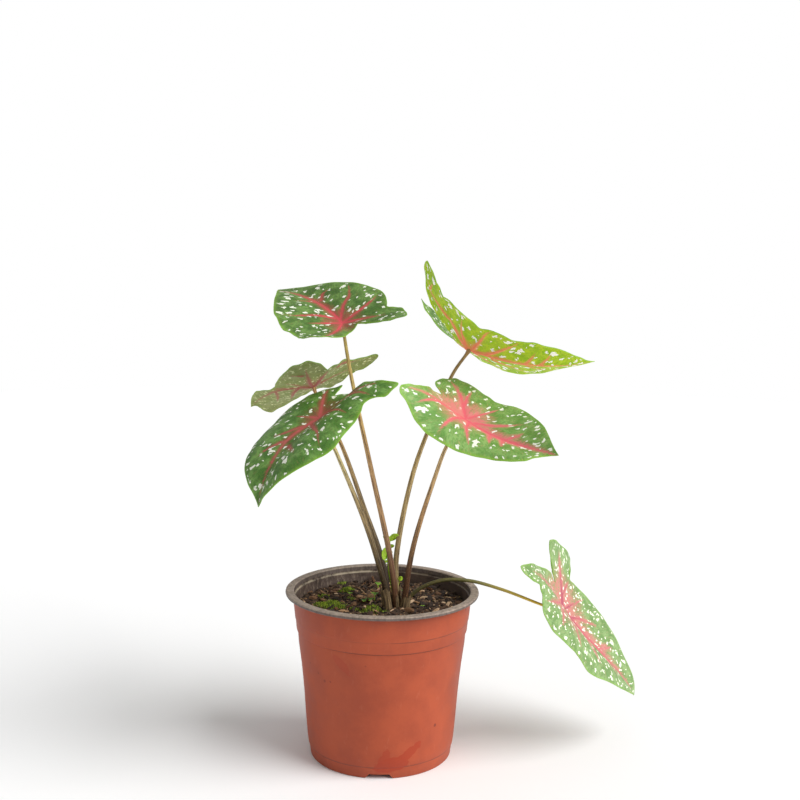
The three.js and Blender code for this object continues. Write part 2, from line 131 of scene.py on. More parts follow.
class Finish:
    """A material that is wired node by node."""

    def __init__(self, name, roughness=0.5):
        self.material = bpy.data.materials.new(name)
        self.material.use_nodes = True
        self.tree = self.material.node_tree
        self.shader = self.tree.nodes["Principled BSDF"]
        self.shader.inputs["Roughness"].default_value = roughness
        self.coats = WHITE

    def node(self, kind, inputs=(), **settings):
        made = self.tree.nodes.new("ShaderNode" + kind)
        for key, value in settings.items():
            setattr(made, key, value)
        for key, value in dict(inputs).items():
            if isinstance(value, bpy.types.NodeSocket):
                self.tree.links.new(value, made.inputs[key])
            else:
                made.inputs[key].default_value = value
        return made

    def maths(self, operation, first, second=0.0):
        return self.node("Math", {0: first, 1: second}, operation=operation).outputs[0]

    def plus(self, first, second):
        return self.maths("ADD", first, second)

    def less(self, first, second):
        return self.maths("SUBTRACT", first, second)

    def times(self, first, second):
        return self.maths("MULTIPLY", first, second)

    def vector(self, operation, first, second):
        return self.node("VectorMath", {0: first, 1: second}, operation=operation).outputs[0]

    def length(self, vector):
        return self.node("VectorMath", {0: vector}, operation="LENGTH").outputs["Value"]

    def axes(self, vector):
        return self.node("SeparateXYZ", {0: vector}).outputs

    def join(self, x, y, z=0.0):
        return self.node("CombineXYZ", {"X": x, "Y": y, "Z": z}).outputs[0]

    def fade(self, value, start, end, low=0.0, high=1.0):
        """Value's run from start to end, eased, as a run from low to high."""
        inputs = {0: value, 1: start, 2: end, 3: low, 4: high}
        return self.node("MapRange", inputs, interpolation_type="SMOOTHSTEP").outputs[0]

    def blend(self, share, first, second):
        return self.node("Mix", {0: share, 6: first, 7: second}, data_type="RGBA").outputs[2]

    def cloud(self, place, scale, detail, rough=0.5):
        inputs = {"Vector": place, "Scale": scale, "Detail": detail, "Roughness": rough}
        return self.node("TexNoise", inputs).outputs["Fac"]

    def cells(self, place, scale, feature="F1", dimensions="3D"):
        inputs = {"Vector": place, "Scale": scale}
        return self.node("TexVoronoi", inputs, voronoi_dimensions=dimensions, feature=feature)

    def draws(self, cells):
        """Three random numbers that each cell has of its own."""
        return self.node("SeparateColor", {0: cells.outputs["Color"]}).outputs

    def stretch(self, place, scale=(1, 1, 1), turn=(0, 0, 0)):
        return self.node("Mapping", {"Vector": place, "Scale": scale, "Rotation": turn}).outputs[0]

    def attribute(self, name):
        return self.node("Attribute", attribute_name=name).outputs["Fac"]

    def place(self):
        return self.node("TexCoord").outputs["Object"]

    def flat(self):
        return self.node("UVMap").outputs[0]

    def start(self, color):
        """The colour under all coats."""
        self.coats = color

    def coat(self, share, color):
        """Lays one more colour over those before it, by a share of 0 to 1."""
        self.coats = self.blend(share, self.coats, color)
        self.tree.links.new(self.coats, self.shader.inputs["Base Color"])

    def roughness(self, socket):
        self.tree.links.new(socket, self.shader.inputs["Roughness"])

    def relief(self, height, depth, strength):
        """Bump from a height of 0 to 1 that stands for a real depth in metres."""
        inputs = {"Height": height, "Distance": depth, "Strength": strength}
        self.tree.links.new(self.node("Bump", inputs).outputs[0], self.shader.inputs["Normal"])


print("leaf green in linear light:", [round(c, 3) for c in tint(97, 135, 62)[:3]])

# %% Piece helpers
FLAT_SIZE = 200  # the mm that one unit of a UV map stands for, along a stalk or on a blade


def start_clean():
    if bpy.context.object and bpy.context.object.mode != "OBJECT":
        bpy.ops.object.mode_set(mode="OBJECT")
    bpy.ops.object.select_all(action="DESELECT")


def named(name):
    """The object just added, under its own name."""
    piece = bpy.context.object
    piece.name = name
    piece.data.name = name
    return piece


def only(piece):
    start_clean()
    piece.select_set(True)
    bpy.context.view_layer.objects.active = piece


def joined(name, pieces):
    """Joins pieces into the first of them."""
    start_clean()
    for piece in pieces:
        piece.select_set(True)
    bpy.context.view_layer.objects.active = pieces[0]
    bpy.ops.object.join()
    return named(name)


def apply_modifier(piece, kind, **settings):
    only(piece)
    modifier = piece.modifiers.new(kind.lower(), kind)
    for key, value in settings.items():
        setattr(modifier, key, value)
    bpy.ops.object.modifier_apply(modifier=modifier.name)


def tidy_mesh(piece, merge=0.00002, closed=True):
    """Merges doubles and turns a closed piece's faces outwards."""
    only(piece)
    bpy.ops.object.mode_set(mode="EDIT")
    bpy.ops.mesh.select_all(action="SELECT")
    bpy.ops.mesh.remove_doubles(threshold=merge)
    if closed:
        bpy.ops.mesh.normals_make_consistent(inside=False)
    bpy.ops.object.mode_set(mode="OBJECT")


def smooth(piece, angle):
    only(piece)
    bpy.ops.object.shade_smooth_by_angle(angle=math.radians(angle))


def dress(piece, materials, stands_for=()):
    """Gives a finished piece its materials and hangs it on the frame."""
    if materials:
        piece.data.materials.clear()
    for made in materials:
        piece.data.materials.append(made)
    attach(piece, "root")
    if stands_for:
        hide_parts(*stands_for)
    print(piece.name, "-", len(piece.data.polygons), "faces")


print("piece helpers ready")

# %% Corner and grid helpers
def corners(piece):
    """A piece's corners as rows of x, y and z."""
    values = np.zeros(len(piece.data.vertices) * 3)
    piece.data.vertices.foreach_get("co", values)
    return values.reshape(-1, 3)


def move_corners(piece, places):
    piece.data.vertices.foreach_set("co", np.ascontiguousarray(places, dtype=np.float32).ravel())
    piece.data.update()


def write_values(piece, name, values):
    """Stores one number per corner, for a finish to read."""
    layer = piece.data.attributes.new(name, "FLOAT", "POINT")
    layer.data.foreach_set("value", np.ascontiguousarray(values, dtype=np.float32))


def write_flat(piece, flat):
    """Stores a flat place per corner as the piece's UV map."""
    layer = piece.data.uv_layers.active or piece.data.uv_layers.new(name="UVMap")
    corner_of = np.zeros(len(piece.data.loops), dtype=np.int32)
    piece.data.loops.foreach_get("vertex_index", corner_of)
    layer.data.foreach_set("uv", np.ascontiguousarray(flat[corner_of], dtype=np.float32).ravel())


def grid_piece(name, columns, rows):
    """A flat grid, with each corner's share across (0 to 1) and up (0 to 1)."""
    start_clean()
    bpy.ops.mesh.primitive_grid_add(x_subdivisions=columns, y_subdivisions=rows, size=1)
    piece = named(name)
    places = corners(piece)
    across = np.round((places[:, 0] + 0.5) * columns) / columns
    up = np.round((places[:, 1] + 0.5) * rows) / rows
    return piece, across, up


print("corner and grid helpers ready")

# %% [markdown]
# ## Pot
# The nursery pot is thin plastic, pressed in a mould: a tapered wall with two faint steps under the rim, a
# flat lip, and a foot ring with flat-topped drain notches. A pot can be spun from its profile or grown ring
# by ring; growing it from one circle, with an extrude and a resize for each ring, keeps every radius
# readable. The notches and holes are cut afterwards with booleans, as a die would punch them.
# %% Pot wall
POT_SIDES = 128
START_RADIUS = 40
WALL = 1.5  # the wall's thickness in mm
# rings as radius and height in mm: the outside from the rim down to the foot
OUTSIDE = [
    (68.8, 126.6), (68.5, 118), (67.6, 109.4), (67.5, 108.9), (67.1, 108.1), (66.4, 100.5), (66.1, 99.4),
    (65.3, 98.9), (64.7, 90), (62.4, 72.5), (61.2, 61), (60.1, 49), (58.9, 32), (57.5, 15.5), (56.8, 9.6),
    (56.3, 8.9), (56, 8),
]
# the foot ring, the lip, the way down into the mouth and the floor inside
FOOT = [(42, 4), (52, 4), (53, 0), (54.6, 0), (55, 0.4)]
RIM = [(73.9, 127.2), (74.7, 127.7), (75, 128.6), (74.8, 129.5), (74.1, 130), (69.2, 130)]
MOUTH = [(68.5, 129.4), (68.2, 125.4), (67.3, 124.6)]
FLOOR = [(53.4, 5.6), (43, 5.6), (41, 1.6)]

start_clean()
bpy.ops.mesh.primitive_circle_add(vertices=POT_SIDES, radius=START_RADIUS * MM, fill_type="NOTHING")
pot = named("nursery_pot")
bpy.ops.object.mode_set(mode="EDIT")
bpy.ops.mesh.select_all(action="SELECT")
inside = [(radius - WALL, height) for radius, height in OUTSIDE[1:]]
last_radius = START_RADIUS
last_height = 0
for radius, height in FOOT + OUTSIDE[::-1] + RIM + MOUTH + inside + FLOOR:
    rise = (0, 0, (height - last_height) * MM)
    bpy.ops.mesh.extrude_region_move(TRANSFORM_OT_translate={"value": rise})
    grow = radius / last_radius
    bpy.ops.transform.resize(value=(grow, grow, 1), center_override=(0, 0, height * MM))
    last_radius = radius
    last_height = height
bpy.ops.mesh.extrude_region_move()
bpy.ops.mesh.merge(type="CENTER")
bpy.ops.mesh.select_all(action="DESELECT")
bpy.ops.mesh.select_non_manifold()
bpy.ops.mesh.edge_face_add()
bpy.ops.object.mode_set(mode="OBJECT")
tidy_mesh(pot)
print("pot rings:", len(pot.data.vertices) // POT_SIDES)

# %% Drain notches and holes
NOTCH_WIDTH = 21
NOTCH_HEIGHT = 3.4
NOTCH_REACH = 4.5
NOTCH_TAPER = 0.286
NOTCH_CIRCLE = 54.5
HOLE_RADIUS = 4
HOLE_CIRCLE = 47
HOLE_DEPTH = 14


def cut(piece, cutter):
    apply_modifier(piece, "BOOLEAN", object=cutter, operation="DIFFERENCE", solver="EXACT")
    bpy.data.objects.remove(cutter)


def ready_cutter(scale, turn):
    cutter = bpy.context.object
    cutter.scale = scale
    bpy.ops.object.transform_apply(location=False, rotation=False, scale=True)
    cutter.matrix_world = Matrix.Rotation(turn, 4, "Z") @ cutter.matrix_world
    bpy.ops.object.transform_apply(location=True, rotation=True, scale=False)
    return cutter


for turn in (0, 2 * math.pi / 3, -2 * math.pi / 3):
    start_clean()
    bpy.ops.mesh.primitive_cube_add(size=2, location=(0, -NOTCH_CIRCLE * MM, 0))
    block = corners(bpy.context.object)
    block[:, 0] *= 1 - NOTCH_TAPER * block[:, 2]
    move_corners(bpy.context.object, block)
    cut(pot, ready_cutter((NOTCH_WIDTH / 2 * MM, NOTCH_REACH * MM, NOTCH_HEIGHT * MM), turn))
    start_clean()
    hole_place = (0, -HOLE_CIRCLE * MM, 5 * MM)
    bpy.ops.mesh.primitive_cylinder_add(
        vertices=32, radius=HOLE_RADIUS * MM, depth=HOLE_DEPTH * MM, location=hole_place
    )
    cut(pot, ready_cutter((1, 1, 1), turn))
print("pot faces after cutting:", len(pot.data.polygons))

# %% [markdown]
# The plastic is pressed from two layers: a terracotta skin outside, and a dark grey-brown one that shows on
# the rim and inside. One colour each would look like a toy. The skin gets cloudy dust, a few specks, painted
# shade under the two steps, a colour that darkens towards the foot, and a damp patch near the foot; the dark
# layer gets pale mineral bloom left by tap water, laid on only towards the left as painted light where the
# inside is lit, and its lip's top is painted lighter than its side.
# %% Terracotta skin
# specks as place and radius
SPECKS = (
    ((-0.0526, -0.0347, 0.082), 0.0011), ((-0.046, -0.042, 0.0765), 0.0012),
    ((-0.0415, -0.0466, 0.072), 0.0013), ((-0.037, -0.050, 0.0728), 0.0011),
    ((-0.029, -0.058, 0.1035), 0.0022),
)
# painted shade under the steps as height, half width, depth of colour and where it starts from the left
STEP_SHADE = ((0.1083, 0.0006, 0.7, 0.0), (0.0991, 0.0007, 0.8, -0.045), (0.0089, 0.0008, 0.75, -0.09))
# damp patches as middle, lean in degrees, half length, narrowness and strength
DAMP = (
    ((0.009, -0.0556, 0.0115), 12, 0.014, 2.2, 0.75), ((0.022, -0.052, 0.0195), 42, 0.011, 3.0, 0.75),
    ((0.004, -0.0565, 0.017), 75, 0.008, 2.0, 0.6), ((-0.029, -0.057, 0.089), -46, 0.010, 3.2, 0.4),
)


def terracotta_skin():
    skin = Finish("terracotta_plastic")
    skin.shader.inputs["Specular IOR Level"].default_value = 0.35
    place = skin.place()
    sideways, _, height = skin.axes(place)
    dust = skin.cloud(place, 38, 6, 0.62)
    scuffs = skin.cloud(skin.stretch(place, (1, 1, 0.35)), 260, 5, 0.7)
    broken = skin.cloud(place, 90, 3)
    skin.start(tint(158, 68, 40))
    skin.coat(skin.fade(dust, 0.3, 0.7), tint(175, 79, 47))
    skin.coat(skin.fade(scuffs, 0.56, 0.78, 0, 0.16), tint(206, 128, 100))
    # painted shade: a dark line under each of the two steps and just above the foot, broken up by noise
    for line, width, depth, start in STEP_SHADE:
        away = skin.maths("ABSOLUTE", skin.less(height, line))
        mark = skin.times(skin.fade(away, width, 0, 0, depth), skin.fade(broken, 0.25, 0.5))
        mark = skin.times(mark, skin.fade(sideways, start, start + 0.02, 0.25, 1))
        skin.coat(mark, tint(84, 50, 42))
    # the terracotta turns darker towards the foot
    darker_towards_foot = skin.fade(skin.plus(height, skin.times(broken, 0.012)), 0.0155, 0.004, 0, 0.22)
    skin.coat(darker_towards_foot, tint(110, 62, 44))
    specks = skin.cells(place, 95)
    dot = skin.fade(specks.outputs["Distance"], 0.16, 0.1)
    rare = skin.maths("GREATER_THAN", skin.draws(specks)[0], 0.93)
    skin.coat(skin.times(skin.times(dot, rare), 0.7), tint(104, 44, 34))
    for spot, size in SPECKS:
        away = skin.length(skin.vector("SUBTRACT", place, spot))
        away = skin.plus(away, skin.times(skin.less(scuffs, 0.5), 0.002))
        skin.coat(skin.fade(away, size, 0.6 * size, 0, 0.6), tint(112, 44, 32))
    wet = 0.0
    for middle, lean, length, narrow, strength in DAMP:
        damp = skin.stretch(skin.vector("SUBTRACT", place, middle), turn=(0, math.radians(lean), 0))
        damp = skin.vector("MULTIPLY", damp, (1, 0.5, narrow))
        ragged = skin.plus(skin.length(damp), skin.times(skin.cloud(place, 170, 5, 0.7), 0.014))
        patch = skin.fade(ragged, length + 0.0074, length + 0.0062, 0, strength)
        wet = skin.maths("MAXIMUM", wet, patch)
    skin.coat(wet, tint(162, 52, 22))
    skin.roughness(skin.less(skin.fade(dust, 0.25, 0.75, 0.46, 0.6), skin.times(wet, 0.2)))
    skin.relief(skin.plus(skin.times(scuffs, 0.5), broken), 0.0001, 0.5)
    return skin.material


print("specks, step marks and damp patches:", len(SPECKS), len(STEP_SHADE), len(DAMP))

# %% Dark layer and the dressed pot
def dark_layer():
    layer = Finish("dark_pot_plastic")
    place = layer.place()
    sideways, _, height = layer.axes(place)
    bloom = layer.cloud(place, 70, 7, 0.7)
    fine = layer.cloud(layer.stretch(place, (1, 1, 0.5)), 420, 4, 0.7)
    layer.start(tint(62, 49, 43))
    layer.coat(layer.fade(bloom, 0.35, 0.62), tint(92, 75, 66))
    # painted light: the pale bloom is laid on only towards the left, where light falls on the inside
    on_left = layer.fade(sideways, 0.055, -0.05)
    layer.coat(layer.times(layer.fade(fine, 0.45, 0.72, 0, 0.6), on_left), tint(172, 152, 134))
    step = layer.maths("ABSOLUTE", layer.less(height, 0.1252))
    crust = layer.times(layer.fade(step, 0.0012, 0.0002, 0, 0.75), layer.fade(bloom, 0.42, 0.56))
    # painted light: the crust on the inner step is also stronger towards the left, where the inside is lit
    crust = layer.times(crust, layer.fade(sideways, 0.04, -0.03, 0.25, 1))
    layer.coat(crust, tint(190, 176, 152))
    worn = layer.fade(fine, 0.3, 0.7)
    # painted light: the lip's top gets a lighter copy of the dark plastic, and its side a darker, shaded one
    lit_lip_top = layer.blend(worn, tint(128, 113, 102), tint(174, 157, 143))
    shaded_lip_side = layer.blend(worn, tint(84, 73, 68), tint(116, 102, 94))
    rim = layer.blend(layer.fade(height, 0.129, 0.1295), shaded_lip_side, lit_lip_top)
    layer.coat(layer.fade(height, 0.1262, 0.1268), rim)
    layer.roughness(layer.fade(bloom, 0.3, 0.7, 0.42, 0.66))
    layer.relief(fine, 0.00012, 0.6)
    return layer.material


LIP_START = 126.7  # the height in mm from which the wall is all dark layer
layers = []
for face in pot.data.polygons:
    middle = face.center / MM
    outwards = face.normal.x * middle.x + face.normal.y * middle.y
    faces_in = outwards < 0 or (face.normal.z > 0.5 and middle.z < 20)
    layers.append(1 if middle.z > LIP_START or (face.normal.z > -0.1 and faces_in) else 0)
smooth(pot, 32)
dress(pot, [terracotta_skin(), dark_layer()], ["pot"])
pot.data.polygons.foreach_set("material_index", layers)

# %% [markdown]
# ## Potting mix
# Potting mix is peat and bark crumbs, so its top is lumpy and nearly black, with paler chips on it. A plain
# cylinder has no corners inside its top that noise could lift, so the body is a grid rolled up round the
# pot's axis: the grid's width goes once round and its height runs from the middle of the top, over the edge,
# down the wall and back to the middle underneath.
# %% Soil body
SOIL_TOP = 117
SOIL_SPOKES = 144
SOIL_ROWS = 64
TOP_ROWS = 56  # rows of the grid that lie on the top
GAP = 0.4  # the mm between the mix and the pot's wall


def ground(x, y):
    """Height of the soil's top in mm, at a place in mm."""
    swell = math.sin(0.31 * x + 0.9) * math.cos(0.27 * y) + 0.6 * math.sin(0.13 * (x - 2 * y))
    lumps = noise.noise(Vector((x, y, 3)) * 0.16) * 1.1
    crumbs = noise.noise(Vector((x, y, 9)) * 0.5) * 0.55
    return SOIL_TOP + 1.3 * swell + (lumps + crumbs)


def wall_inside(height):
    """The pot's inside radius at a height."""
    radii = [radius - WALL for radius, _ in OUTSIDE[::-1]]
    return float(np.interp(height, [z for _, z in OUTSIDE[::-1]], radii))


EDGE = wall_inside(SOIL_TOP) - GAP
under_path = [
    (EDGE, 114), (wall_inside(60) - GAP, 60), (wall_inside(16) - GAP, 16), (53, 6.2), (43, 6.2), (0, 2.2),
]
soil, across, up = grid_piece("potting_mix", SOIL_SPOKES, SOIL_ROWS)
places = []
for share_round, share_up in zip(across, up):
    turn = 2 * math.pi * share_round
    if share_up <= TOP_ROWS / SOIL_ROWS:
        radius = EDGE * share_up * SOIL_ROWS / TOP_ROWS
        x, y = radius * math.cos(turn), radius * math.sin(turn)
        drop = max(0, radius - EDGE + 2) ** 2 * 0.3
        places.append((x, y, ground(x, y) - drop if share_up else ground(0, 0)))
    else:
        step = round(share_up * SOIL_ROWS) - TOP_ROWS - 1
        radius, z = under_path[min(step, len(under_path) - 1)]
        places.append((radius * math.cos(turn), radius * math.sin(turn), z))
move_corners(soil, np.array(places) * MM)
tidy_mesh(soil)
smooth(soil, 70)
print("soil edge radius:", round(EDGE, 2), "mm")

# %% Soil finish
mix = Finish("damp_potting_mix", 0.95)
place = mix.place()
lumps = mix.cloud(place, 240, 8, 0.72)
grains = mix.cells(place, 620)
mix.start(tint(30, 22, 17))
mix.coat(mix.fade(lumps, 0.35, 0.68), tint(100, 76, 56))
mix.coat(mix.fade(mix.draws(grains)[0], 0.75, 0.95, 0, 0.6), tint(168, 134, 102))
mix.relief(mix.plus(lumps, mix.times(grains.outputs["Distance"], -0.6)), 0.0016, 1.0)
dress(soil, [mix.material], ["soil"])

# %% [markdown]
# ## Bark chips and crumbs
# Hundreds of chips lie on the mix, so each may have only a few faces. Four shapes are made by hand from a
# cube: it is subdivided once, its corners are pushed about at random and it is flattened into a flake. Each
# copy gets its own mesh, size, turn and a number called tone that its finish turns into a colour, and the
# copies are then joined into one piece. A particle system could strew them too, but a loop with seeded
# random numbers shows each step and gives the same chips every time.
# %% Chip shapes
def chip_shape(name, seed, size):
    start_clean()
    bpy.ops.mesh.primitive_cube_add(size=1)
    chip = named(name)
    bpy.ops.object.mode_set(mode="EDIT")
    bpy.ops.mesh.select_all(action="SELECT")
    bpy.ops.mesh.subdivide(number_cuts=1, smoothness=0.6)
    bpy.ops.transform.vertex_random(offset=0.16, uniform=1.0, normal=0.0, seed=seed)
    bpy.ops.transform.resize(value=size)
    bpy.ops.object.mode_set(mode="OBJECT")
    return chip


def strew(name, shapes, spots):
    """Copies shapes to spots (place, turns, scale, tone) and joins them into one piece."""
    copies = []
    for number, (spot, turns, scale, tone) in enumerate(spots):
        shape = shapes[number % len(shapes)]
        copy = shape.copy()
        copy.data = shape.data.copy()
        bpy.context.scene.collection.objects.link(copy)
        copy.matrix_world = Matrix.LocRotScale(Vector(spot) * MM, Euler(turns), Vector(scale) * MM)
        write_values(copy, "tone", np.full(len(copy.data.vertices), tone))
        copies.append(copy)
    piece = joined(name, copies)
    bpy.ops.object.transform_apply(location=True, rotation=True, scale=True)
    return piece


chips = [
    chip_shape("chip_long", 3, (1.9, 0.6, 0.3)),
    chip_shape("chip_square", 8, (1.1, 0.9, 0.4)),
    chip_shape("chip_sliver", 15, (2.2, 0.35, 0.25)),
    chip_shape("chip_lump", 21, (1.2, 0.6, 0.5)),
]
print("faces in one chip:", len(chips[0].data.polygons))

# %% Scatter the chips
dice = np.random.default_rng(11)
STREWN_RADIUS = 63.5
CHIP_LIFT = 0.3


def scattered(count, small, large, tones):
    """Random spots on the soil, most of them for small chips."""
    spots = []
    for _ in range(count):
        turn = dice.uniform(0, 2 * math.pi)
        radius = STREWN_RADIUS * math.sqrt(dice.uniform(0, 1))
        x, y = radius * math.cos(turn), radius * math.sin(turn)
        size = small + (large - small) * dice.uniform(0, 1) ** 2
        turns = (dice.normal(0, 0.35), dice.normal(0, 0.35), dice.uniform(0, 2 * math.pi))
        scale = size * dice.uniform(0.75, 1.25, 3)
        spots.append(((x, y, ground(x, y) + CHIP_LIFT * size), turns, scale, dice.choice(tones)))
    return spots


BARK_TONES = [0.03, 0.06, 0.1, 0.15, 0.22, 0.3, 0.38, 0.48, 0.6, 0.75, 0.9]
CRUMB_TONES = [0.02, 0.05, 0.08, 0.12, 0.2, 0.3, 0.45, 0.7, 0.9]
PALE_TONE = 0.97
PALE_CHIPS = [
    # x, y, turns, size
    (21, -2, (0.3, -0.25, 0.8), 3.6), (24, 5, (0.1, 0.4, 1.3), 3.0), (17, -9, (0.2, 0.1, 1.0), 2.6),
    (0, -4, (0, 0.1, 0.1), 1.9), (41, 11, (0.2, 0, 2.0), 2.2), (48, 7, (0.1, 0.2, 0.4), 2.0),
    (33, 14, (0.1, 0.1, 2.6), 2.2), (-22, 32, (0.2, 0.3, 1.2), 1.8), (-37, 20, (0, 0.2, 0.9), 1.7),
]
spots = scattered(430, 1.6, 4.4, BARK_TONES)
for x, y, turns, size in PALE_CHIPS:
    spots.append(((x, y, ground(x, y) + 1.0), turns, (size, size, size), PALE_TONE))
bark = strew("bark_chips", chips, spots)
crumbs = strew("peat_crumbs", chips[1:], scattered(1100, 0.7, 1.7, CRUMB_TONES))
print("bark chips:", len(spots))

# %% Bark finish
wood = Finish("bark", 0.85)
ramp = wood.node("ValToRGB", {0: wood.attribute("tone")})
stops = ramp.color_ramp.elements
stops[0].color = tint(38, 27, 20)
stops[1].color = tint(240, 206, 170)
for where, shade in ((0.25, tint(72, 48, 34)), (0.5, tint(124, 84, 54)), (0.8, tint(190, 148, 108))):
    stops.new(where).color = shade
grain = wood.cloud(wood.place(), 900, 4, 0.7)
wood.start(ramp.outputs[0])
wood.coat(wood.fade(grain, 0.35, 0.7, 0.45, 0), tint(34, 24, 18))
wood.relief(grain, 0.0003, 0.8)
dress(bark, [wood.material])
dress(crumbs, [wood.material])

# %% [markdown]
# ## Moss and herbs
# Old mix grows a bright skin of moss and a few weed seedlings. A moss cushion is a low swelling that
# bristles with tiny shoots: each shoot is a three-sided cone of a few faces, and hundreds of copies stand on
# the cushions, leaning at random. A weed is three small leaves, copied from a round and a pointed one that
# are each made as a flat fan of faces and then cupped.
# %% Moss
start_clean()
bpy.ops.mesh.primitive_cone_add(vertices=3, radius1=0.34, radius2=0, depth=1, location=(0, 0, 0.5))
shoot = named("moss_shoot")
bpy.ops.object.transform_apply(location=True, rotation=False, scale=False)
MOSS = [
    # middle x, y, reach along x, reach along y, swelling, shoots
    (-38, -8, 16, 9, 2.4, 860), (-30, 34, 8, 7, 2.2, 260), (-36, 54, 6, 4, 1.4, 100),
    (-46, 16, 5, 6, 1.2, 90), (-10, -16, 15, 7, 1.2, 330), (-24, 12, 5, 4, 1.0, 70), (8, 24, 7, 3, 0.8, 50),
]
MOSS_LIMIT = 64
SHOOT_WIDTH = 0.85
spots = []
for middle_x, middle_y, reach_x, reach_y, swell, count in MOSS:
    for _ in range(count):
        turn = dice.uniform(0, 2 * math.pi)
        radius = math.sqrt(dice.uniform(0, 1)) * dice.uniform(0.75, 1.1)
        x = middle_x + reach_x * radius * math.cos(turn)
        y = middle_y + reach_y * radius * math.sin(turn)
        if math.hypot(x, y) > MOSS_LIMIT:
            continue
        z = ground(x, y) + swell * max(0, 1 - radius * radius) - 0.2
        lean = (dice.normal(0, 0.45), dice.normal(0, 0.45), dice.uniform(0, 6.28))
        tall = dice.uniform(1.2, 2.6)
        spots.append(((x, y, z), lean, (SHOOT_WIDTH, SHOOT_WIDTH, tall), dice.uniform(0, 1)))
moss = strew("moss_shoots", [shoot], spots)
print("moss shoots:", len(spots))

# %% Moss finish
green = Finish("moss_green", 0.7)
patchy = green.cloud(green.place(), 300, 3)
green.start(tint(82, 108, 14))
green.coat(green.attribute("tone"), tint(176, 198, 48))
green.coat(green.fade(patchy, 0.35, 0.65, 0.35, 0), tint(54, 62, 18))
dress(moss, [green.material])

# %% Leaflets of the weeds
def leaflet_shape(name, point):
    """A leaflet one long, from its stalk end at the origin along +X."""
    start_clean()
    bpy.ops.mesh.primitive_circle_add(vertices=12, radius=0.5, fill_type="TRIFAN", location=(0.5, 0, 0))
    leaflet = named(name)
    bpy.ops.object.transform_apply(location=True, rotation=False, scale=False)
    places = corners(leaflet)
    x = places[:, 0]
    places[:, 1] *= 0.75 * (1 - point * x ** 2)
    places[:, 2] = 0.35 * np.abs(places[:, 1]) - 0.25 * x ** 2 + 0.12 * x
    move_corners(leaflet, places)
    apply_modifier(leaflet, "SOLIDIFY", thickness=0.06, offset=0)
    return leaflet


rounded = leaflet_shape("leaflet_round", 0.2)
pointed = leaflet_shape("leaflet_pointed", 0.75)
spots = []
WEEDS = (
    # x, y, height, leaflet length
    (-10, 4, 3, 4.6), (-6, 8, 5, 4.2), (-14, 2, 2, 3.8), (-8, 0, 1.5, 3.4), (-4, 42, 3, 4.4),
    (0, 45, 4, 3.6), (14, 30, 2, 2.4), (-26, 24, 2, 2.2), (31, -8, 1, 2.0),
)
for x, y, height, size in WEEDS:
    for turn in (0.4, 2.3, 4.5):
        twist = turn + dice.uniform(-0.4, 0.4)
        tone = dice.uniform(0, 0.5)
        spots.append(((x, y, ground(x, y) + height), (0, -0.35, twist), (size, size, size), tone))
herbs = strew("weed_leaflets", [rounded, pointed], spots)
print("weed leaflets:", len(spots))

# %% [markdown]
# ## Round stems
# A stalk is a tube along a smooth line. Blender's bevelled curve could draw it, but the fine streaks of a
# caladium stalk have to run along it, so the tube is a grid rolled round the line: its width goes once round
# and its height runs along, and both are kept as the UV map in millimetres. The grid's first and last rows
# shrink to a point, which closes the ends.
# %% Lines and tubes
ACROSS_STEMS = (0.3, 1, 0.2)  # a direction that no stem starts in
SPAN_POINTS = 40  # points of a smooth line for each step of its list


def smooth_line(points):
    """A centripetal Catmull-Rom line through points in mm, the curve that the solids' stalks follow."""
    known = [np.array(point, float) for point in points]
    known = [2 * known[0] - known[1]] + known + [2 * known[-1] - known[-2]]
    line = []
    for p0, p1, p2, p3 in zip(known, known[1:], known[2:], known[3:]):
        d0, d1, d2 = [math.sqrt(np.linalg.norm(b - a)) for a, b in ((p0, p1), (p1, p2), (p2, p3))]
        m1 = ((p1 - p0) / d0 - (p2 - p0) / (d0 + d1) + (p2 - p1) / d1) * d1
        m2 = ((p2 - p1) / d1 - (p3 - p1) / (d1 + d2) + (p3 - p2) / d2) * d1
        square = 3 * (p2 - p1) - 2 * m1 - m2
        cube = 2 * (p1 - p2) + m1 + m2
        for t in np.linspace(0, 1, SPAN_POINTS, endpoint=False):
            line.append(p1 + m1 * t + square * t**2 + cube * t**3)
    return np.array(line + [known[-2]])


def even_line(line, count):
    """The same line in count + 1 evenly spaced points, with each one's distance along it."""
    steps = np.linalg.norm(np.diff(line, axis=0), axis=1)
    along = np.concatenate([[0], np.cumsum(steps)])
    wanted = np.linspace(0, along[-1], count + 1)
    return np.stack([np.interp(wanted, along, line[:, axis]) for axis in range(3)], 1), wanted


def tube(name, line, radii, sides, rows):
    """A closed tube along a line; radii is read at each share of its length."""
    centres, along = even_line(line, rows - 2)
    heading = np.gradient(centres, axis=0)
    heading /= np.linalg.norm(heading, axis=1)[:, None]
    side = np.cross(heading[0], ACROSS_STEMS)
    piece, across, up = grid_piece(name, sides, rows)
    rings = []
    for forward in heading:
        side = side - forward * side.dot(forward)
        side /= np.linalg.norm(side)
        rings.append((side.copy(), np.cross(forward, side)))
    row = np.clip(np.round(up * rows).astype(int) - 1, 0, rows - 2)
    width = np.interp(along[row] / along[-1], np.linspace(0, 1, len(radii)), radii)
    width = np.where((up == 0) | (up == 1), 0, width)
    turn = 2 * np.pi * across
    sides_at = np.array([ring[0] for ring in rings])[row]
    backs_at = np.array([ring[1] for ring in rings])[row]
    around = sides_at * np.cos(turn)[:, None] + backs_at * np.sin(turn)[:, None]
    move_corners(piece, (centres[row] + around * width[:, None]) * MM)
    write_flat(piece, np.stack([across, along[row] / FLAT_SIZE], 1))
    tidy_mesh(piece, 0.000005)
    smooth(piece, 60)
    return piece


print("a test line of", len(smooth_line([(0, 0, 0), (0, 0, 5), (2, 0, 9)])), "points")

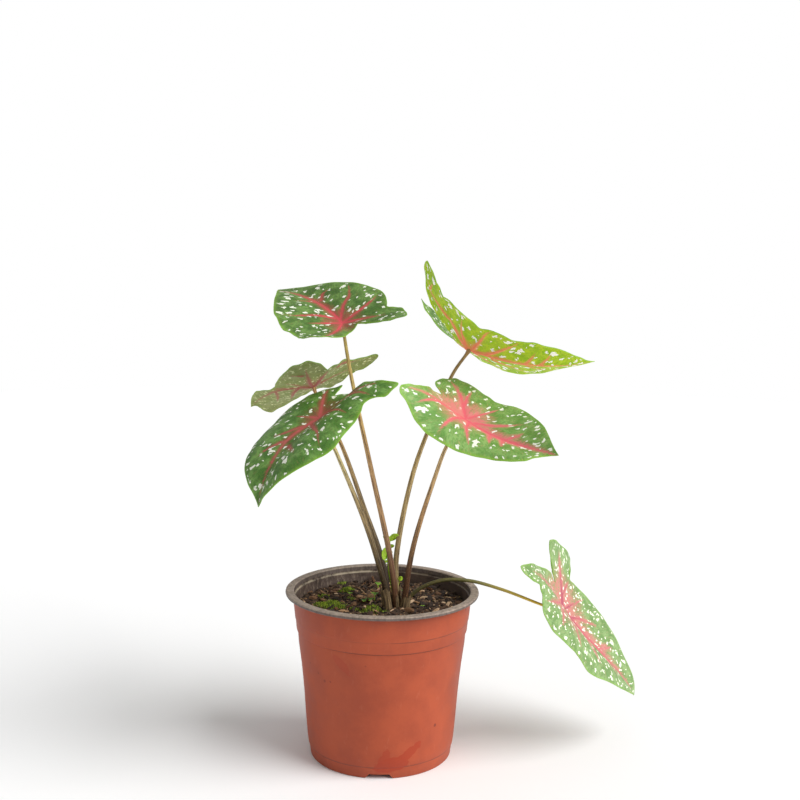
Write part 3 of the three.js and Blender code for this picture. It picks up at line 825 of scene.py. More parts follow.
# %% [markdown]
# ## Seedling and weeds
# A self-sown seedling has come up among the stalks: a thin bright stem with a few little leaves, whose
# places nearly repeat the solid's. Its leaves are copies of the rounded leaflet of the weeds, and each weed
# gets a short stem from the soil to its leaves, so that nothing floats.
# %% Seedling
SEEDLING_STEM = [(9, 7, 108), (8.2, 7.5, 124), (4.4, 8, 146), (4, 8, 158), (6, 8, 168)]
SEEDLING_LEAVES = [
    # height, turn, upward tilt, roll, length
    (161, 200, -65, 70, 11), (156, 170, -45, 80, 9), (150, 210, -30, 60, 7), (166, 340, 45, -60, 9),
    (165, 200, 50, 60, 8), (160, 335, 35, -60, 6), (157, 345, 10, -50, 4),
]
# nearly the brightest tone: the seedling's own young green, raised further as painted light against the shade
# among the stalks
YOUNG_TONE = 0.95
line = smooth_line(SEEDLING_STEM)
stem = tube("seedling_stem", line, [1.2, 1.0, 0.5], 8, 40)
spots = []
for height, turn, tilt_up, roll, length in SEEDLING_LEAVES:
    at = line[np.argmin(np.abs(line[:, 2] - height))]
    turns = (math.radians(roll), -math.radians(tilt_up), math.radians(turn))
    spots.append((at, turns, (length, length * 0.85, length), YOUNG_TONE))
dot_line = smooth_line([(11.5, 8.5, 114), (12, 7.5, 128), (14, 3, 137)])
dot_stem = tube("dot_leaf_stem", dot_line, [0.3, 0.25], 6, 12)
spots.append((dot_line[-1] + (0, 0, -1.5), (0, -1.3, -1.4), (4.2, 5.2, 4.2), 1.0))
leaves = strew("seedling_leaves", [rounded], spots)

stems = [stem, dot_stem]
for x, y, height, _ in WEEDS:
    base = ground(x, y)
    stems.append(tube("weed_stem", np.array([(x, y, base - 1), (x, y, base + height)]), [0.3], 6, 4))
for made in stems:
    write_values(made, "tone", np.full(len(made.data.vertices), YOUNG_TONE))
seedling = joined("seedling_plant", [leaves, *stems])
print("small stems:", len(stems))

# %% Seedling finish
young = Finish("young_leaf", 0.45)
patchy = young.cloud(young.place(), 700, 3)
young.start(tint(44, 92, 30))
# the tone lays on the bright young green; the seedling's high tone is partly painted light
young.coat(young.attribute("tone"), tint(206, 250, 70))
young.coat(young.fade(patchy, 0.3, 0.7, 0.25, 0), tint(110, 176, 40))
dress(seedling, [young.material], ["seedling"])
dress(herbs, [young.material])
for shape in chips + [shoot, rounded, pointed]:
    bpy.data.objects.remove(shape)

# %% [markdown]
# ## Leaf shapes
# A caladium blade is a heart with two back lobes; the stalk joins it from below at the navel, well inside
# the edge. No primitive bends into that by hand in a repeatable way, so each blade starts as a grid that is
# rolled into spokes and rings about the navel, laid flat inside its outline, and then bent: the halves are
# folded up from the midrib, the lobes curl, and the tip droops. The sizes are the solids' own, but for one
# back lobe that is folded up more and one that is a little longer.
# %% Sizes of the six leaves
# Lengths are in mm and angles in degrees. front, width and lobe are how far a blade reaches ahead of its
# navel, to a side and behind; edge is the outline of a half as places ahead of the navel and to its left,
# once round from the tip over the left half to the sinus, and from there over the right half to the tip.
LEAVES = {
    "upper_left": dict(
        navel=(-33, 2, 336), heading=118, pitch=-25, roll=-21, front=96,
        sweep=21, twist=2, droop=9, tip_droop=12,
        left=dict(
            width=47, lobe=48, fold=19, curl=4, lobe_bend=-35,
            edge=[
                (96, -1), (88, 5), (77, 13), (66, 20.5), (54, 29), (44, 35), (34, 40.5), (24, 45),
                (14, 47), (5, 48.5), (-2, 48), (-9, 44.5), (-18, 42.5), (-28, 43), (-38, 42.5),
                (-45, 39), (-48, 33), (-45, 26), (-38, 17), (-28, 8), (-19, 1), (-15, -6), (-12, -9),
            ],
        ),
        right=dict(
            width=41, lobe=33, fold=18, curl=22, lobe_bend=-22,
            edge=[
                (-12, -9), (-16, -12.3), (-22, -17), (-28, -22), (-33, -27), (-38, -32), (-42, -37),
                (-37, -40.5), (-30, -42.5), (-22, -44), (-16, -43.5), (-12, -39.5), (-9, -35.5),
                (-2, -38), (6, -40.5), (15, -42), (23, -41), (31, -37.5), (39, -34), (47, -29),
                (56, -22.5), (66, -15), (75, -9), (84, -5), (96, -1),
            ],
        ),
        stalk=[(11, -5, 84), (11, -5, 117), (6, -4.5, 155), (-10, -2, 226), (-27, 1, 302)],
    ),
    "left_back": dict(
        navel=(-57, 35, 283.5), heading=134, pitch=25, roll=-3, front=87,
        sweep=-2, twist=22, droop=-36, tip_droop=31,
        left=dict(
            width=28, lobe=43, fold=10, curl=-9, lobe_bend=-12,
            edge=[
                (86, 1), (76, 8), (68, 13), (60, 17), (52, 21), (44, 23.5), (36, 24), (28, 22.5),
                (21, 23.5), (15, 27), (6, 32), (-6, 37), (-15, 41), (-24, 43.5), (-33, 44.5),
                (-41, 42.5), (-45, 37), (-45, 29), (-42, 22), (-37, 15), (-35, 11.5),
            ],
        ),
        right=dict(
            width=23, lobe=34, fold=10, curl=14, lobe_bend=-20,
            edge=[
                (-35, 11.5), (-39, 7), (-41, 3), (-38, -4), (-35, -12), (-33, -20), (-33, -30),
                (-34, -38), (-35.5, -46), (-30, -46.5), (-25, -45.5), (-20.6, -43.2), (-17.6, -38.5),
                (-15.2, -34.6), (-13, -31), (-10, -29.5),
                (-3, -30), (5, -30), (11, -28), (14, -22), (16, -14), (22, -11.5), (32, -13.5),
                (43, -16.5), (57, -19.5), (72, -21.5), (82, -22), (88, -21), (87, -13), (82, -5),
                (78, 0), (86, 1),
            ],
        ),
        stalk=[(5, 1, 84), (5, 1.5, 117), (-1, 7, 152), (-15, 14, 190), (-34, 24, 239)],
    ),
    "left_front": dict(
        navel=(-46, -47, 270), heading=223, pitch=32, roll=5, front=83,
        sweep=4, twist=4, droop=-19, tip_droop=66,
        left=dict(
            width=45, lobe=46, fold=27, curl=62, lobe_bend=-2,
            edge=[
                (82, 0), (79, 7), (75, 13), (69, 21), (61, 29), (53, 35.5), (45, 41), (38, 44.5),
                (30, 46), (22, 45), (13, 43), (5, 41.5), (-3, 40), (-10, 37.5), (-16, 35), (-22, 35),
                (-26, 37), (-29.5, 40), (-34, 42), (-41, 41.5), (-47, 41), (-44, 33), (-41, 24),
                (-40, 15), (-40, 6), (-36, -3), (-31, -9.5), (-26, -11.5),
            ],
        ),
        right=dict(
            width=40, lobe=40, fold=24, curl=41, lobe_bend=22,
            edge=[
                (-26, -11.5), (-34, -16.5), (-41, -21), (-38, -25), (-36, -30), (-34, -37), (-30, -42.5),
                (-22, -44.5), (-12, -46), (-2, -48), (9, -48), (20, -46), (30, -43), (40, -39),
                (48, -34), (56, -29), (63, -23), (69, -16), (74, -9), (78, -4), (82, 0),
            ],
        ),
        stalk=[(5.5, -6.5, 84), (5.5, -7, 117), (-4, -14, 157), (-15, -23, 192), (-34, -38, 242)],
    ),
    "right_front": dict(
        navel=(59, -35, 269), heading=-38, pitch=28, roll=-2, front=86,
        sweep=-4, twist=23, droop=-42, tip_droop=14,
        left=dict(
            width=41, lobe=47, fold=23, curl=9, lobe_bend=-4,
            edge=[
                (84, 0.5), (79, 5), (74, 10), (65, 19), (56, 27), (47, 32), (36, 37), (24, 40.5),
                (12, 40), (2, 38.5), (-6, 39), (-15, 41), (-25, 42), (-34, 41.5), (-41, 39), (-45, 33),
                (-46.5, 24), (-45, 16), (-38, 10), (-30, 6),
            ],
        ),
        right=dict(
            width=42, lobe=39, fold=19, curl=53, lobe_bend=-16,
            edge=[
                (-30, 6), (-33, 1), (-35, -6), (-35.5, -16), (-36, -26), (-38, -34), (-38.5, -40),
                (-34, -43.5), (-26, -42.5), (-17, -44), (-8, -45), (0, -45), (9, -43.5), (18, -41.5),
                (27, -39), (36, -35.5), (46, -31), (55, -28), (63, -24.5), (69, -19.5), (72, -13),
                (74.5, -6), (78, -1.5), (84, 0.5),
            ],
        ),
        stalk=[(17, -5.5, 84), (17, -6, 117), (23, -13, 165), (38, -23.5, 221), (47, -29, 248)],
    ),
    "right_top": dict(
        navel=(66, 32, 315), heading=-26, pitch=23, roll=-31, front=100,
        sweep=-3, twist=6, droop=-50, tip_droop=9,
        left=dict(
            width=46, lobe=46, fold=11, curl=1, lobe_bend=-26, lobe_fold=12,
            edge=[
                (98, 0), (90, 5), (80, 11), (70, 18), (60, 26), (50, 34), (40, 40), (30, 43), (18, 43),
                (8, 41), (-2, 37), (-14, 34), (-28, 35), (-42, 38), (-54, 40), (-62, 35), (-67, 26),
                (-70, 16), (-61, 11.5), (-51, 8.5), (-40, 4.5), (-28, 0.5), (-12, -1),
            ],
        ),
        right=dict(
            width=41, lobe=67, fold=12, curl=3, lobe_bend=-37,
            edge=[
                (-12, -1), (-13, -2.6), (-20, -5.4), (-30, -8.8), (-40, -12.4), (-48, -15.8), (-55, -20),
                (-61, -28), (-65, -40), (-63, -52), (-52, -56), (-42, -56.5), (-36, -52), (-30, -49),
                (-22, -50), (-12, -49.5), (-5, -46), (3, -41.5), (10, -38), (17, -39), (26, -40.5),
                (34, -38.5), (41, -36), (48, -34.5), (55, -34.5), (62, -31.5), (70, -27), (77, -23),
                (83, -17), (88, -11.5), (92, -6), (98, 0),
            ],
        ),
        stalk=[(11, 3, 84), (11, 3, 117), (10.5, 6, 153), (22, 13.5, 216), (33, 19, 249), (53, 28, 296)],
    ),
    "low_right": dict(
        navel=(142, 10, 114), heading=22, pitch=57, roll=40, front=105,
        sweep=6, twist=1, droop=-50, tip_droop=55,
        left=dict(
            width=39, lobe=39, fold=9, curl=6, lobe_bend=-14,
            edge=[
                (104, 0), (101, 7), (95, 12.5), (85, 17.5), (75, 23.5), (64, 30.5), (53, 36), (41, 39.5),
                (28, 39.5), (15, 37.5), (5, 35), (-1, 33), (-3.5, 38), (-5, 48), (-6.5, 56), (-10, 58),
                (-17, 55), (-28, 48), (-38, 39), (-44, 31), (-45, 26), (-40, 21), (-32, 16.5), (-24, 12),
                (-19, 9),
            ],
        ),
        right=dict(
            width=46, lobe=65, fold=38, curl=57, lobe_bend=5,
            edge=[
                (-19, 9), (-25, 9.5), (-31, 7), (-38, 2), (-45, -6), (-51, -14), (-57, -22), (-62, -30),
                (-67, -37), (-68, -41), (-63, -42.5), (-57, -41), (-51, -38), (-45, -35.5), (-41, -37),
                (-38, -40), (-36, -43.5), (-31, -48.5), (-24, -51), (-15, -51), (-4, -48.5), (7, -45.5),
                (15, -43.5), (21, -43), (28, -45), (35, -46), (43, -44), (52, -40), (62, -36), (71, -32),
                (80, -26), (88, -20), (95, -12.5), (101, -5), (104, 0),
            ],
        ),
        stalk=[
            (17.5, 1, 84), (18, 1, 117), (26, 2, 127.5), (45, 3, 136), (67, 4.5, 136), (94, 6.5, 128.5),
            (127, 9, 115.5),
        ],
    ),
}
print("leaves:", ", ".join(LEAVES))

# %% Outline of a flat blade
SPAN_STEPS = 8  # spokes for each step of an outline
RINGS = 56


def plain_line(points, per_span):
    """A uniform Catmull-Rom line through points in the plane."""
    known = np.array([points[0], *points, points[-1]], float)
    line = []
    for p0, p1, p2, p3 in zip(known, known[1:], known[2:], known[3:]):
        for t in np.linspace(0, 1, per_span, endpoint=False):
            bend = (2 * p0 - 5 * p1 + 4 * p2 - p3) * t**2 + (-p0 + 3 * p1 - 3 * p2 + p3) * t**3
            line.append(0.5 * (2 * p1 + (p2 - p0) * t + bend))
    return np.array(line + [known[-1]])


def outline(leaf):
    """Once round from the tip over the left half to the sinus, and back to the tip on the right."""
    left = plain_line(leaf["left"]["edge"], SPAN_STEPS)
    right = plain_line(leaf["right"]["edge"], SPAN_STEPS)
    return np.concatenate([left, right[1:]])


for name, leaf in LEAVES.items():
    print(name, "outline corners:", len(outline(leaf)) - 1)

# %% Bend a flat blade
CREASE = 2.5  # the mm beside the midrib over which the fold sets in
LOBE_FOLD_RUN = 40  # the mm behind the navel over which a back lobe's own fold sets in
MIDDLE_SHARE = 0.175  # the share of the width over which one lobe's bend passes into the other's


def bent(leaf, u, v):
    """Where places (u ahead, v to the left) of the flat blade lie once it is bent, about its navel."""
    left, right = leaf["left"], leaf["right"]
    on_left = v > 0
    fold = np.where(on_left, left["fold"], right["fold"])
    curl = np.where(on_left, left["curl"], right["curl"])
    width = np.where(on_left, left["width"], right["width"])
    reach = np.clip(v / (MIDDLE_SHARE * (left["width"] + right["width"])), -1, 1)
    left_share = 0.5 + 0.5 * reach * (1.5 - 0.5 * reach**2)
    lobe_bend = left["lobe_bend"] * left_share + right["lobe_bend"] * (1 - left_share)
    ahead = np.maximum(u, 0) / leaf["front"]
    behind = 2 * np.minimum(u, 0) / (left["lobe"] + right["lobe"])
    slope = np.radians(leaf["droop"] * ahead + leaf["tip_droop"] * ahead**2 + lobe_bend * behind)
    ahead_chord = leaf["droop"] * ahead / 2 + leaf["tip_droop"] * ahead**2 / 3
    chord = np.radians(ahead_chord + lobe_bend * behind / 2)
    lobe_fold = np.where(on_left, left.get("lobe_fold", 0), 0)
    fold = fold + lobe_fold * np.clip(-u / LOBE_FOLD_RUN, 0, 1)
    rise = np.radians(fold - curl * np.abs(v) / width / 2)
    across = v * np.cos(rise)
    lift = (np.hypot(v, CREASE) - CREASE) * np.sin(rise)
    twist = np.radians(leaf["twist"] * u / leaf["front"])
    side = across * np.cos(twist) - lift * np.sin(twist) + leaf["sweep"] * ahead**2
    top = across * np.sin(twist) + lift * np.cos(twist)
    forward = u * np.cos(chord) + top * np.sin(slope)
    upward = -u * np.sin(chord) + top * np.cos(slope)
    return np.stack([forward, side, upward], -1)


def blade_normal(leaf, u, v):
    """Which way the bent blade's upper side faces at places on it."""
    along = bent(leaf, u + 0.5, v) - bent(leaf, u - 0.5, v)
    aside = bent(leaf, u, v + 0.5) - bent(leaf, u, v - 0.5)
    normal = np.cross(along, aside)
    return normal / np.linalg.norm(normal, axis=-1, keepdims=True)


def blade_turn(leaf):
    """How the whole blade is turned about its navel, as a matrix."""
    turns = [math.radians(leaf[name]) for name in ("roll", "pitch", "heading")]
    return np.array(Euler(turns, "XYZ").to_matrix())


def navel_normal(leaf):
    return blade_turn(leaf) @ blade_normal(leaf, np.zeros(1), np.zeros(1))[0]


print("upper left blade faces", navel_normal(LEAVES["upper_left"]).round(2))

# %% [markdown]
# ## Veins
# From the navel a midrib runs to the tip, one strong vein into each back lobe, and side veins out to the
# margin. They are listed as lines on the flat blade. For every corner of the mesh the distance to the
# nearest vein is stored as a number, so that the finish can colour the veins and their soft edges, the
# solid can thicken into ribs under them, and the skin between them can swell a little.
# %% Vein lines
MAIN_VEINS = 3
VEINS = {
    # width, then points ahead of the navel and to its left; the midrib and two more main veins come first
    "upper_left": [
        (4, [(0, 0), (40, 2), (70, 6), (90, 12)]), (3, [(0, 0), (-20, 15), (-35, 28)]),
        (3, [(0, 0), (-8, -12), (-20, -30)]), (3, [(0, 0), (2, 15), (4, 28)]),
        (3, [(8, 2), (15, 15), (17, 30), (21, 42)]), (1.5, [(38, 2), (43, 8), (46, 18)]),
        (3, [(0, -2), (3, -18), (8, -30), (13, -38)]), (3, [(5, -1), (18, -10), (27, -20), (42, -28)]),
        (1.5, [(40, -2), (47, -8), (49, -14)]),
    ],
    "left_back": [
        (3, [(0, 0), (5, 11), (25, 18), (50, 12), (85, 1)]), (4, [(0, 0), (-8, 9), (-20, 20), (-36, 33)]),
        (5, [(-3, 1), (-20, 6), (-33, 9)]), (3, [(-33, -2), (-31, -14), (-30, -30)]),
        (3, [(7, 10), (20, 5), (35, -5), (50, -15)]), (2, [(-20, 25), (-18, 36)]),
        (2.5, [(-8, -2), (-14, -14), (-22, -28)]), (2, [(2, 6), (0, 18), (2, 28)]),
        (2, [(28, 17), (40, 6), (60, -8)]), (1.5, [(10, 14), (16, 20), (24, 21)]),
    ],
    "left_front": [
        (3.5, [(0, 0), (12, -4), (30, -6), (55, -3), (83, 0)]),
        (4, [(0, 0), (-15, 5), (-30, 14), (-40, 30)]), (3.5, [(0, 0), (-12, -10), (-28, -24), (-36, -30)]),
        (2.5, [(9, 0), (16, 14), (22, 25), (34, 38)]),
        (1.5, [(34, 0), (40, 14), (44, 22)]), (2, [(-3, 0), (-6, 15), (-4, 30)]),
        (2, [(-22, 8), (-27, 18), (-27, 32)]), (2.5, [(0, 0), (3, -10), (6, -22)]),
        (1.5, [(14, -6), (24, -14), (30, -22)]), (1.5, [(30, -6), (40, -15), (50, -20)]),
    ],
    "right_front": [
        (4, [(0, 0), (40, 1.5), (65, 2), (84, 0)]), (4, [(0, 2), (-12, 12), (-25, 22), (-42, 31)]),
        (4, [(0, 0), (-12, -6), (-25, -18), (-36, -36)]), (3, [(-8, 8), (-16, 20), (-23, 35)]),
        (3, [(1, 3), (4, 15), (10, 32)]), (3, [(8, 3), (22, 12), (40, 25)]),
        (1.5, [(38, 3), (43, 10), (46, 15)]), (3, [(-10, -5), (-20, -18), (-22, -38)]),
        (3.5, [(0, -3), (1, -20), (6, -39)]), (3.5, [(6, -2), (14, -16), (29, -31)]),
        (1.5, [(25, 0), (31, -10), (36, -17)]), (1.5, [(36, 0), (41, -8), (45, -15)]),
    ],
    "right_top": [
        (4, [(0, 0), (20, -3), (50, -2), (75, -1), (98, 0)]), (4, [(0, 0), (-15, 12), (-35, 35)]),
        (5, [(0, 0), (-8, -8), (-18, -23), (-30, -27), (-50, -30)]),
        (3, [(-3, -5), (-7, -20), (-6, -38)]), (3.5, [(2, -1), (10, -18), (16, -32), (22, -39)]),
        (3.5, [(14, -3), (25, -13), (37, -25), (45, -34)]), (1.5, [(47, -2), (52, -12), (56, -20)]),
        (1.2, [(58, -3), (64, -12), (68, -20)]), (3, [(-5, 5), (-8, 20), (-5, 40)]),
        (3, [(3, 1), (12, 18), (22, 38)]), (3, [(20, 1), (32, 15), (48, 34)]),
        (1.5, [(48, 1), (56, 12), (68, 24)]), (1.2, [(-50, -30), (-45, -45)]),
        (3.5, [(-22, -25), (-36, -28), (-48, -30), (-58, -38)]),
    ],
    "low_right": [
        (6, [(0, 0), (50, 1), (102, 0)]), (6.5, [(0, 0), (-8, 12), (-20, 28), (-28, 42)]),
        (5, [(0, 0), (-14, -10), (-35, -18), (-55, -30)]), (3, [(-5, 8), (-4, 20), (-3, 30)]),
        (2.5, [(3, 2), (10, 15), (20, 32)]), (3, [(14, 3), (25, 12), (45, 23)]),
        (1.5, [(50, 2), (57, 10), (64, 16)]), (2.5, [(-12, -22), (-8, -40)]),
        (2.5, [(-3, -3), (-20, -25), (-32, -38)]), (2.5, [(5, -3), (12, -22), (20, -34)]),
        (2, [(25, -1), (35, -18), (45, -30)]), (1.5, [(52, -1), (62, -12), (70, -18)]),
    ],
}
# soft flush of the vein colour: its radius round the navel and its reach beside the main veins, in mm, and
# the share that distances behind the navel count for, because it may run further towards the sinus
FLUSH = {
    "upper_left": (20, 9, 1), "left_back": (15, 6, 1), "left_front": (20, 9, 0.7),
    "right_front": (28, 12, 0.62), "right_top": (14, 5, 1), "low_right": (36, 19, 1),
}


def away_from(line, u, v):
    """How far places are from a line in the plane, and how far along it (0 to 1) the nearest point is."""
    best = np.full(len(u), 1e9)
    share = np.zeros(len(u))
    for i, (a, b) in enumerate(zip(line, line[1:])):
        run = b - a
        t = np.clip(((u - a[0]) * run[0] + (v - a[1]) * run[1]) / max(run @ run, 1e-9), 0, 1)
        gap = np.hypot(u - a[0] - t * run[0], v - a[1] - t * run[1])
        share = np.where(gap < best, (i + t) / (len(line) - 1), share)
        best = np.minimum(best, gap)
    return best, share


print("veins listed:", sum(len(lines) for lines in VEINS.values()))

# %% [markdown]
# ## Blades
# Each blade is one grid: 56 rings about the navel, with eight spokes for every step of its outline. The
# rings near the margin rise and fall in slow waves and a finer frill, and the skin swells a little between
# the veins. The Solidify modifier then gives it thickness on its underside. Ribs could be sculpted, but a
# vertex group does it from the same list that colours the veins: it makes the thickness grow under them.
# %% Values at the corners
VALUES = ("vein", "glow", "flush", "margin")  # what each corner of a blade stores
SIDE_FLUSH = 0.55  # how far the flush reaches beside a side vein, as a share of its reach by a main vein


def vein_values(name, u, v):
    """Distances in mm from the nearest vein's edge and middle, how strong the halo and the flush of colour
    are (glow and flush, 0 to 1), and the rib's share of its full height."""
    outside = np.full(len(u), 99.0)
    near = np.full(len(u), 99.0)
    glow = np.zeros(len(u))
    rib = np.zeros(len(u))
    radius, reach, back = FLUSH[name]
    flush = np.clip(1 - np.hypot(np.where(u < 0, back * u, u), v) / radius, 0, 1)
    for number, (width, points) in enumerate(VEINS[name]):
        gap, share = away_from(plain_line(points, 10), u, v)
        rest = 1 - share
        taper = rest**0.6
        halo = np.exp(-((gap / (0.9 * width * taper + 0.6)) ** 2)) * rest**0.5
        ridge = np.exp(-((gap / (0.5 * width)) ** 2)) * taper * min(width / 3.5, 1) * rest
        flush_reach = reach * rest**0.8 * (1 if number < MAIN_VEINS else SIDE_FLUSH)
        beside = np.clip(1 - gap / np.maximum(flush_reach, 0.1), 0, 1) * 0.9 * rest**0.4
        outside = np.minimum(outside, gap - 0.29 * width * taper + 0.9 * share**3)
        near = np.minimum(near, gap)
        glow = np.maximum(glow, halo)
        rib = np.maximum(rib, ridge)
        flush = np.maximum(flush, beside)
    return outside, near, glow, flush, rib


ahead, aside = np.array([50.0, 50.0]), np.array([0.0, 10.0])
outside = vein_values("upper_left", ahead, aside)[0]
print("mm from a vein's edge, 50 mm ahead of the navel and 10 mm to its left there:", outside.round(1))

# %% Make a blade
# heights and thicknesses in mm, waves counted once round the blade
RIPPLE_HEIGHT = 0.6
RIPPLE_WAVES = 7
FRILL_HEIGHT = {
    "upper_left": 0.3, "left_back": 0.5, "left_front": 0.35, "right_front": 0.35, "right_top": 0.5,
    "low_right": 0.4,
}
FRILL_WAVES = 19
FINE_WAVES = 31
SWELL = 0.5
BLADE = 0.45
RIB = 1.7
RIB_STEPS = 20
FLAT_NAVEL = (80, 100)  # where the navel lies on a blade's UV map, in mm


def make_blade(name, leaf, seed):
    """The upper face of a blade, with its values, its UV map and its rib group."""
    edge = outline(leaf)
    spokes = len(edge) - 1
    blade, across, up = grid_piece("blade_" + name, spokes, RINGS)
    spoke = spokes - np.round(across * spokes).astype(int)
    u, v = up * edge[spoke, 0], up * edge[spoke, 1]
    outside, near, glow, flush, rib = vein_values(name, u, v)
    margin, _ = away_from(edge, u, v)
    turn = 2 * np.pi * spoke / spokes
    phase = seed * 1.7
    lift = RIPPLE_HEIGHT * up**4 * np.sin(RIPPLE_WAVES * turn)
    frill = np.sin(FRILL_WAVES * turn + phase + 1.5 * np.sin(3 * turn))
    frill = frill + 0.6 * np.sin(FINE_WAVES * turn + 2 * phase)
    lift += FRILL_HEIGHT[name] * up**7 * frill * np.abs(np.sin(turn / 2)) ** 0.5
    lift += SWELL * (1 - np.exp(-((near / 4) ** 2))) * np.clip(margin / 5, 0, 1)
    places = bent(leaf, u, v) + blade_normal(leaf, u, v) * (lift + BLADE / 2)[:, None]
    places = places @ blade_turn(leaf).T + np.array(leaf["navel"])
    move_corners(blade, places * MM)
    for label, values in zip(VALUES, (outside, glow, flush, margin)):
        write_values(blade, label, values)
    write_flat(blade, (np.stack([u, v], 1) + FLAT_NAVEL) / FLAT_SIZE)
    group = blade.vertex_groups.new(name="rib")
    level = np.round(rib * RIB_STEPS).astype(int)
    for step in range(RIB_STEPS + 1):
        group.add(np.nonzero(level == step)[0].tolist(), step / RIB_STEPS, "REPLACE")
    tidy_mesh(blade, 0.000001, closed=False)
    return blade


def thicken(blade, materials):
    """Gives a blade its underside, with the second material, and its ribs."""
    for made in materials:
        blade.data.materials.append(made)
    apply_modifier(
        blade, "SOLIDIFY", thickness=RIB * MM, offset=-1, vertex_group="rib", material_offset=1,
        thickness_vertex_group=BLADE / RIB, use_rim=True,
    )
    smooth(blade, 60)


print("rib height:", RIB - BLADE, "mm")

# %% [markdown]
# ## Leaf finish
# Between the veins the skin is green with angular cream flecks. Each fleck is a cluster of the tiny fields
# that the finest veinlets enclose, so the pattern is built the same way: one flat cell pattern draws the
# fields, a coarser one scatters sites, and every field whose own centre lies near a site turns cream as a
# whole. The cells are stretched along the side veins. A painted picture could show the flecks too, but the
# cells stay sharp at any distance and differ from leaf to leaf.
# %% Places on the skin
FRONT_VEINS = math.radians(-52)
BACK_VEINS = math.radians(-125)


def leaf_places(skin, seed):
    """What is known at a place on a blade: the stored values, the place on the flat blade from its navel,
    and as lie the same place turned and stretched to run along the side veins."""
    at = {label: skin.attribute(label) for label in VALUES}
    flat = skin.vector("MULTIPLY", skin.flat(), (FLAT_SIZE, FLAT_SIZE, 0))
    flat = skin.vector("SUBTRACT", flat, (*FLAT_NAVEL, 0))
    ahead, leftwards, _ = skin.axes(flat)
    aside = skin.maths("ABSOLUTE", leftwards)
    on_left = skin.maths("GREATER_THAN", leftwards, 0)
    warp = skin.node("TexNoise", {"Vector": flat, "Scale": 0.12, "Detail": 2.0}).outputs["Color"]
    warp = skin.vector("MULTIPLY", skin.vector("SUBTRACT", warp, (0.5, 0.5, 0.5)), (7, 7, 0))
    mirrored = skin.vector("ADD", skin.join(ahead, aside), warp)
    front_way = skin.stretch(mirrored, turn=(0, 0, FRONT_VEINS))
    back_way = skin.stretch(mirrored, turn=(0, 0, BACK_VEINS))
    in_front = skin.maths("GREATER_THAN", skin.less(ahead, skin.times(aside, 0.2)), 0)
    lie = skin.node("Mix", {0: in_front, 4: back_way, 5: front_way}, data_type="VECTOR").outputs[1]
    shift = skin.join(skin.times(on_left, 40), seed * 17.0)
    lie = skin.vector("ADD", skin.vector("MULTIPLY", lie, (0.68, 1, 1)), shift)
    outwards = skin.maths("ARCTAN2", leftwards, ahead)
    at.update(flat=flat, lie=lie, on_left=on_left, outwards=outwards, distance=skin.length(flat))
    return at


def add_noises(skin, at, seed):
    """Adds the noises: fine ones, streaks along the side veins, and ragged, a number about 0 that pulls
    edges of colour out along the streaks and into rays about the navel."""
    at["fine"] = skin.cloud(at["lie"], 1.3, 3, 0.6)
    at["streaks"] = skin.cloud(skin.vector("MULTIPLY", at["lie"], (0.3, 1.5, 1)), 0.8, 3, 0.6)
    rays = skin.join(skin.times(at["outwards"], 9), skin.times(at["distance"], 0.12), seed * 3.0)
    flames = skin.cloud(rays, 1.0, 3, 0.6)
    near_navel = skin.fade(at["distance"], 30, 12)
    pulled = skin.node("Mix", {0: near_navel, 2: at["streaks"], 3: flames}).outputs[0]
    at["ragged"] = skin.less(pulled, 0.5)


print("angle between the two ways:", round(math.degrees(FRONT_VEINS - BACK_VEINS)), "degrees")

# %% Green fields and cream flecks
FIELD_SCALE = 0.95


def green_fields(skin, look, at, net, field_tone):
    """The green with its net of finest veinlets and its brighter rims."""
    dull, bright, deep = look["green"]
    left_rim, right_rim = look["rims"]
    skin.start(dull)
    skin.coat(skin.fade(skin.cloud(at["flat"], 0.08, 3), 0.4, 0.6), bright)
    skin.coat(skin.fade(field_tone, 0.2, 0.9, 0, 0.5), deep)
    skin.coat(skin.fade(net, 0.1, 0.0, 0, 0.2), look["net"])
    skin.coat(skin.fade(at["streaks"], 0.5, 0.75, 0, 0.3), look["net"])
    rim = skin.plus(skin.times(at["on_left"], left_rim - right_rim), right_rim)
    skin.coat(skin.times(skin.fade(at["margin"], 3.5, 0.5), rim), look["edge"])


def cream_flecks(skin, look, at, field_middle, field_tone):
    """1 in the fields that turn cream, 0 in the others and on veins, flush and margin."""
    wobble = skin.times(skin.less(field_tone, 0.5), look["ragged"])
    fleck = 0.0
    for spacing, left_out, smallest, largest in look["flecks"]:
        sites = skin.cells(field_middle, 1 / spacing, dimensions="2D")
        chance, size, _ = skin.draws(sites)
        present = skin.maths("GREATER_THAN", chance, left_out)
        reach = skin.fade(size, 0, 1, smallest / spacing, largest / spacing)
        inside = skin.less(skin.plus(reach, wobble), sites.outputs["Distance"])
        fleck = skin.maths("MAXIMUM", fleck, skin.times(skin.fade(inside, 0, 0.01), present))
    clear = skin.times(skin.fade(at["vein"], 0.3, 1.0), skin.fade(at["margin"], 1.2, 2.0))
    flush_free = skin.fade(at["flush"], look["clear_flush"], look["clear_flush"] - 0.25)
    return skin.times(fleck, skin.times(clear, flush_free))


print("width of a field:", round(1 / FIELD_SCALE, 2), "mm")

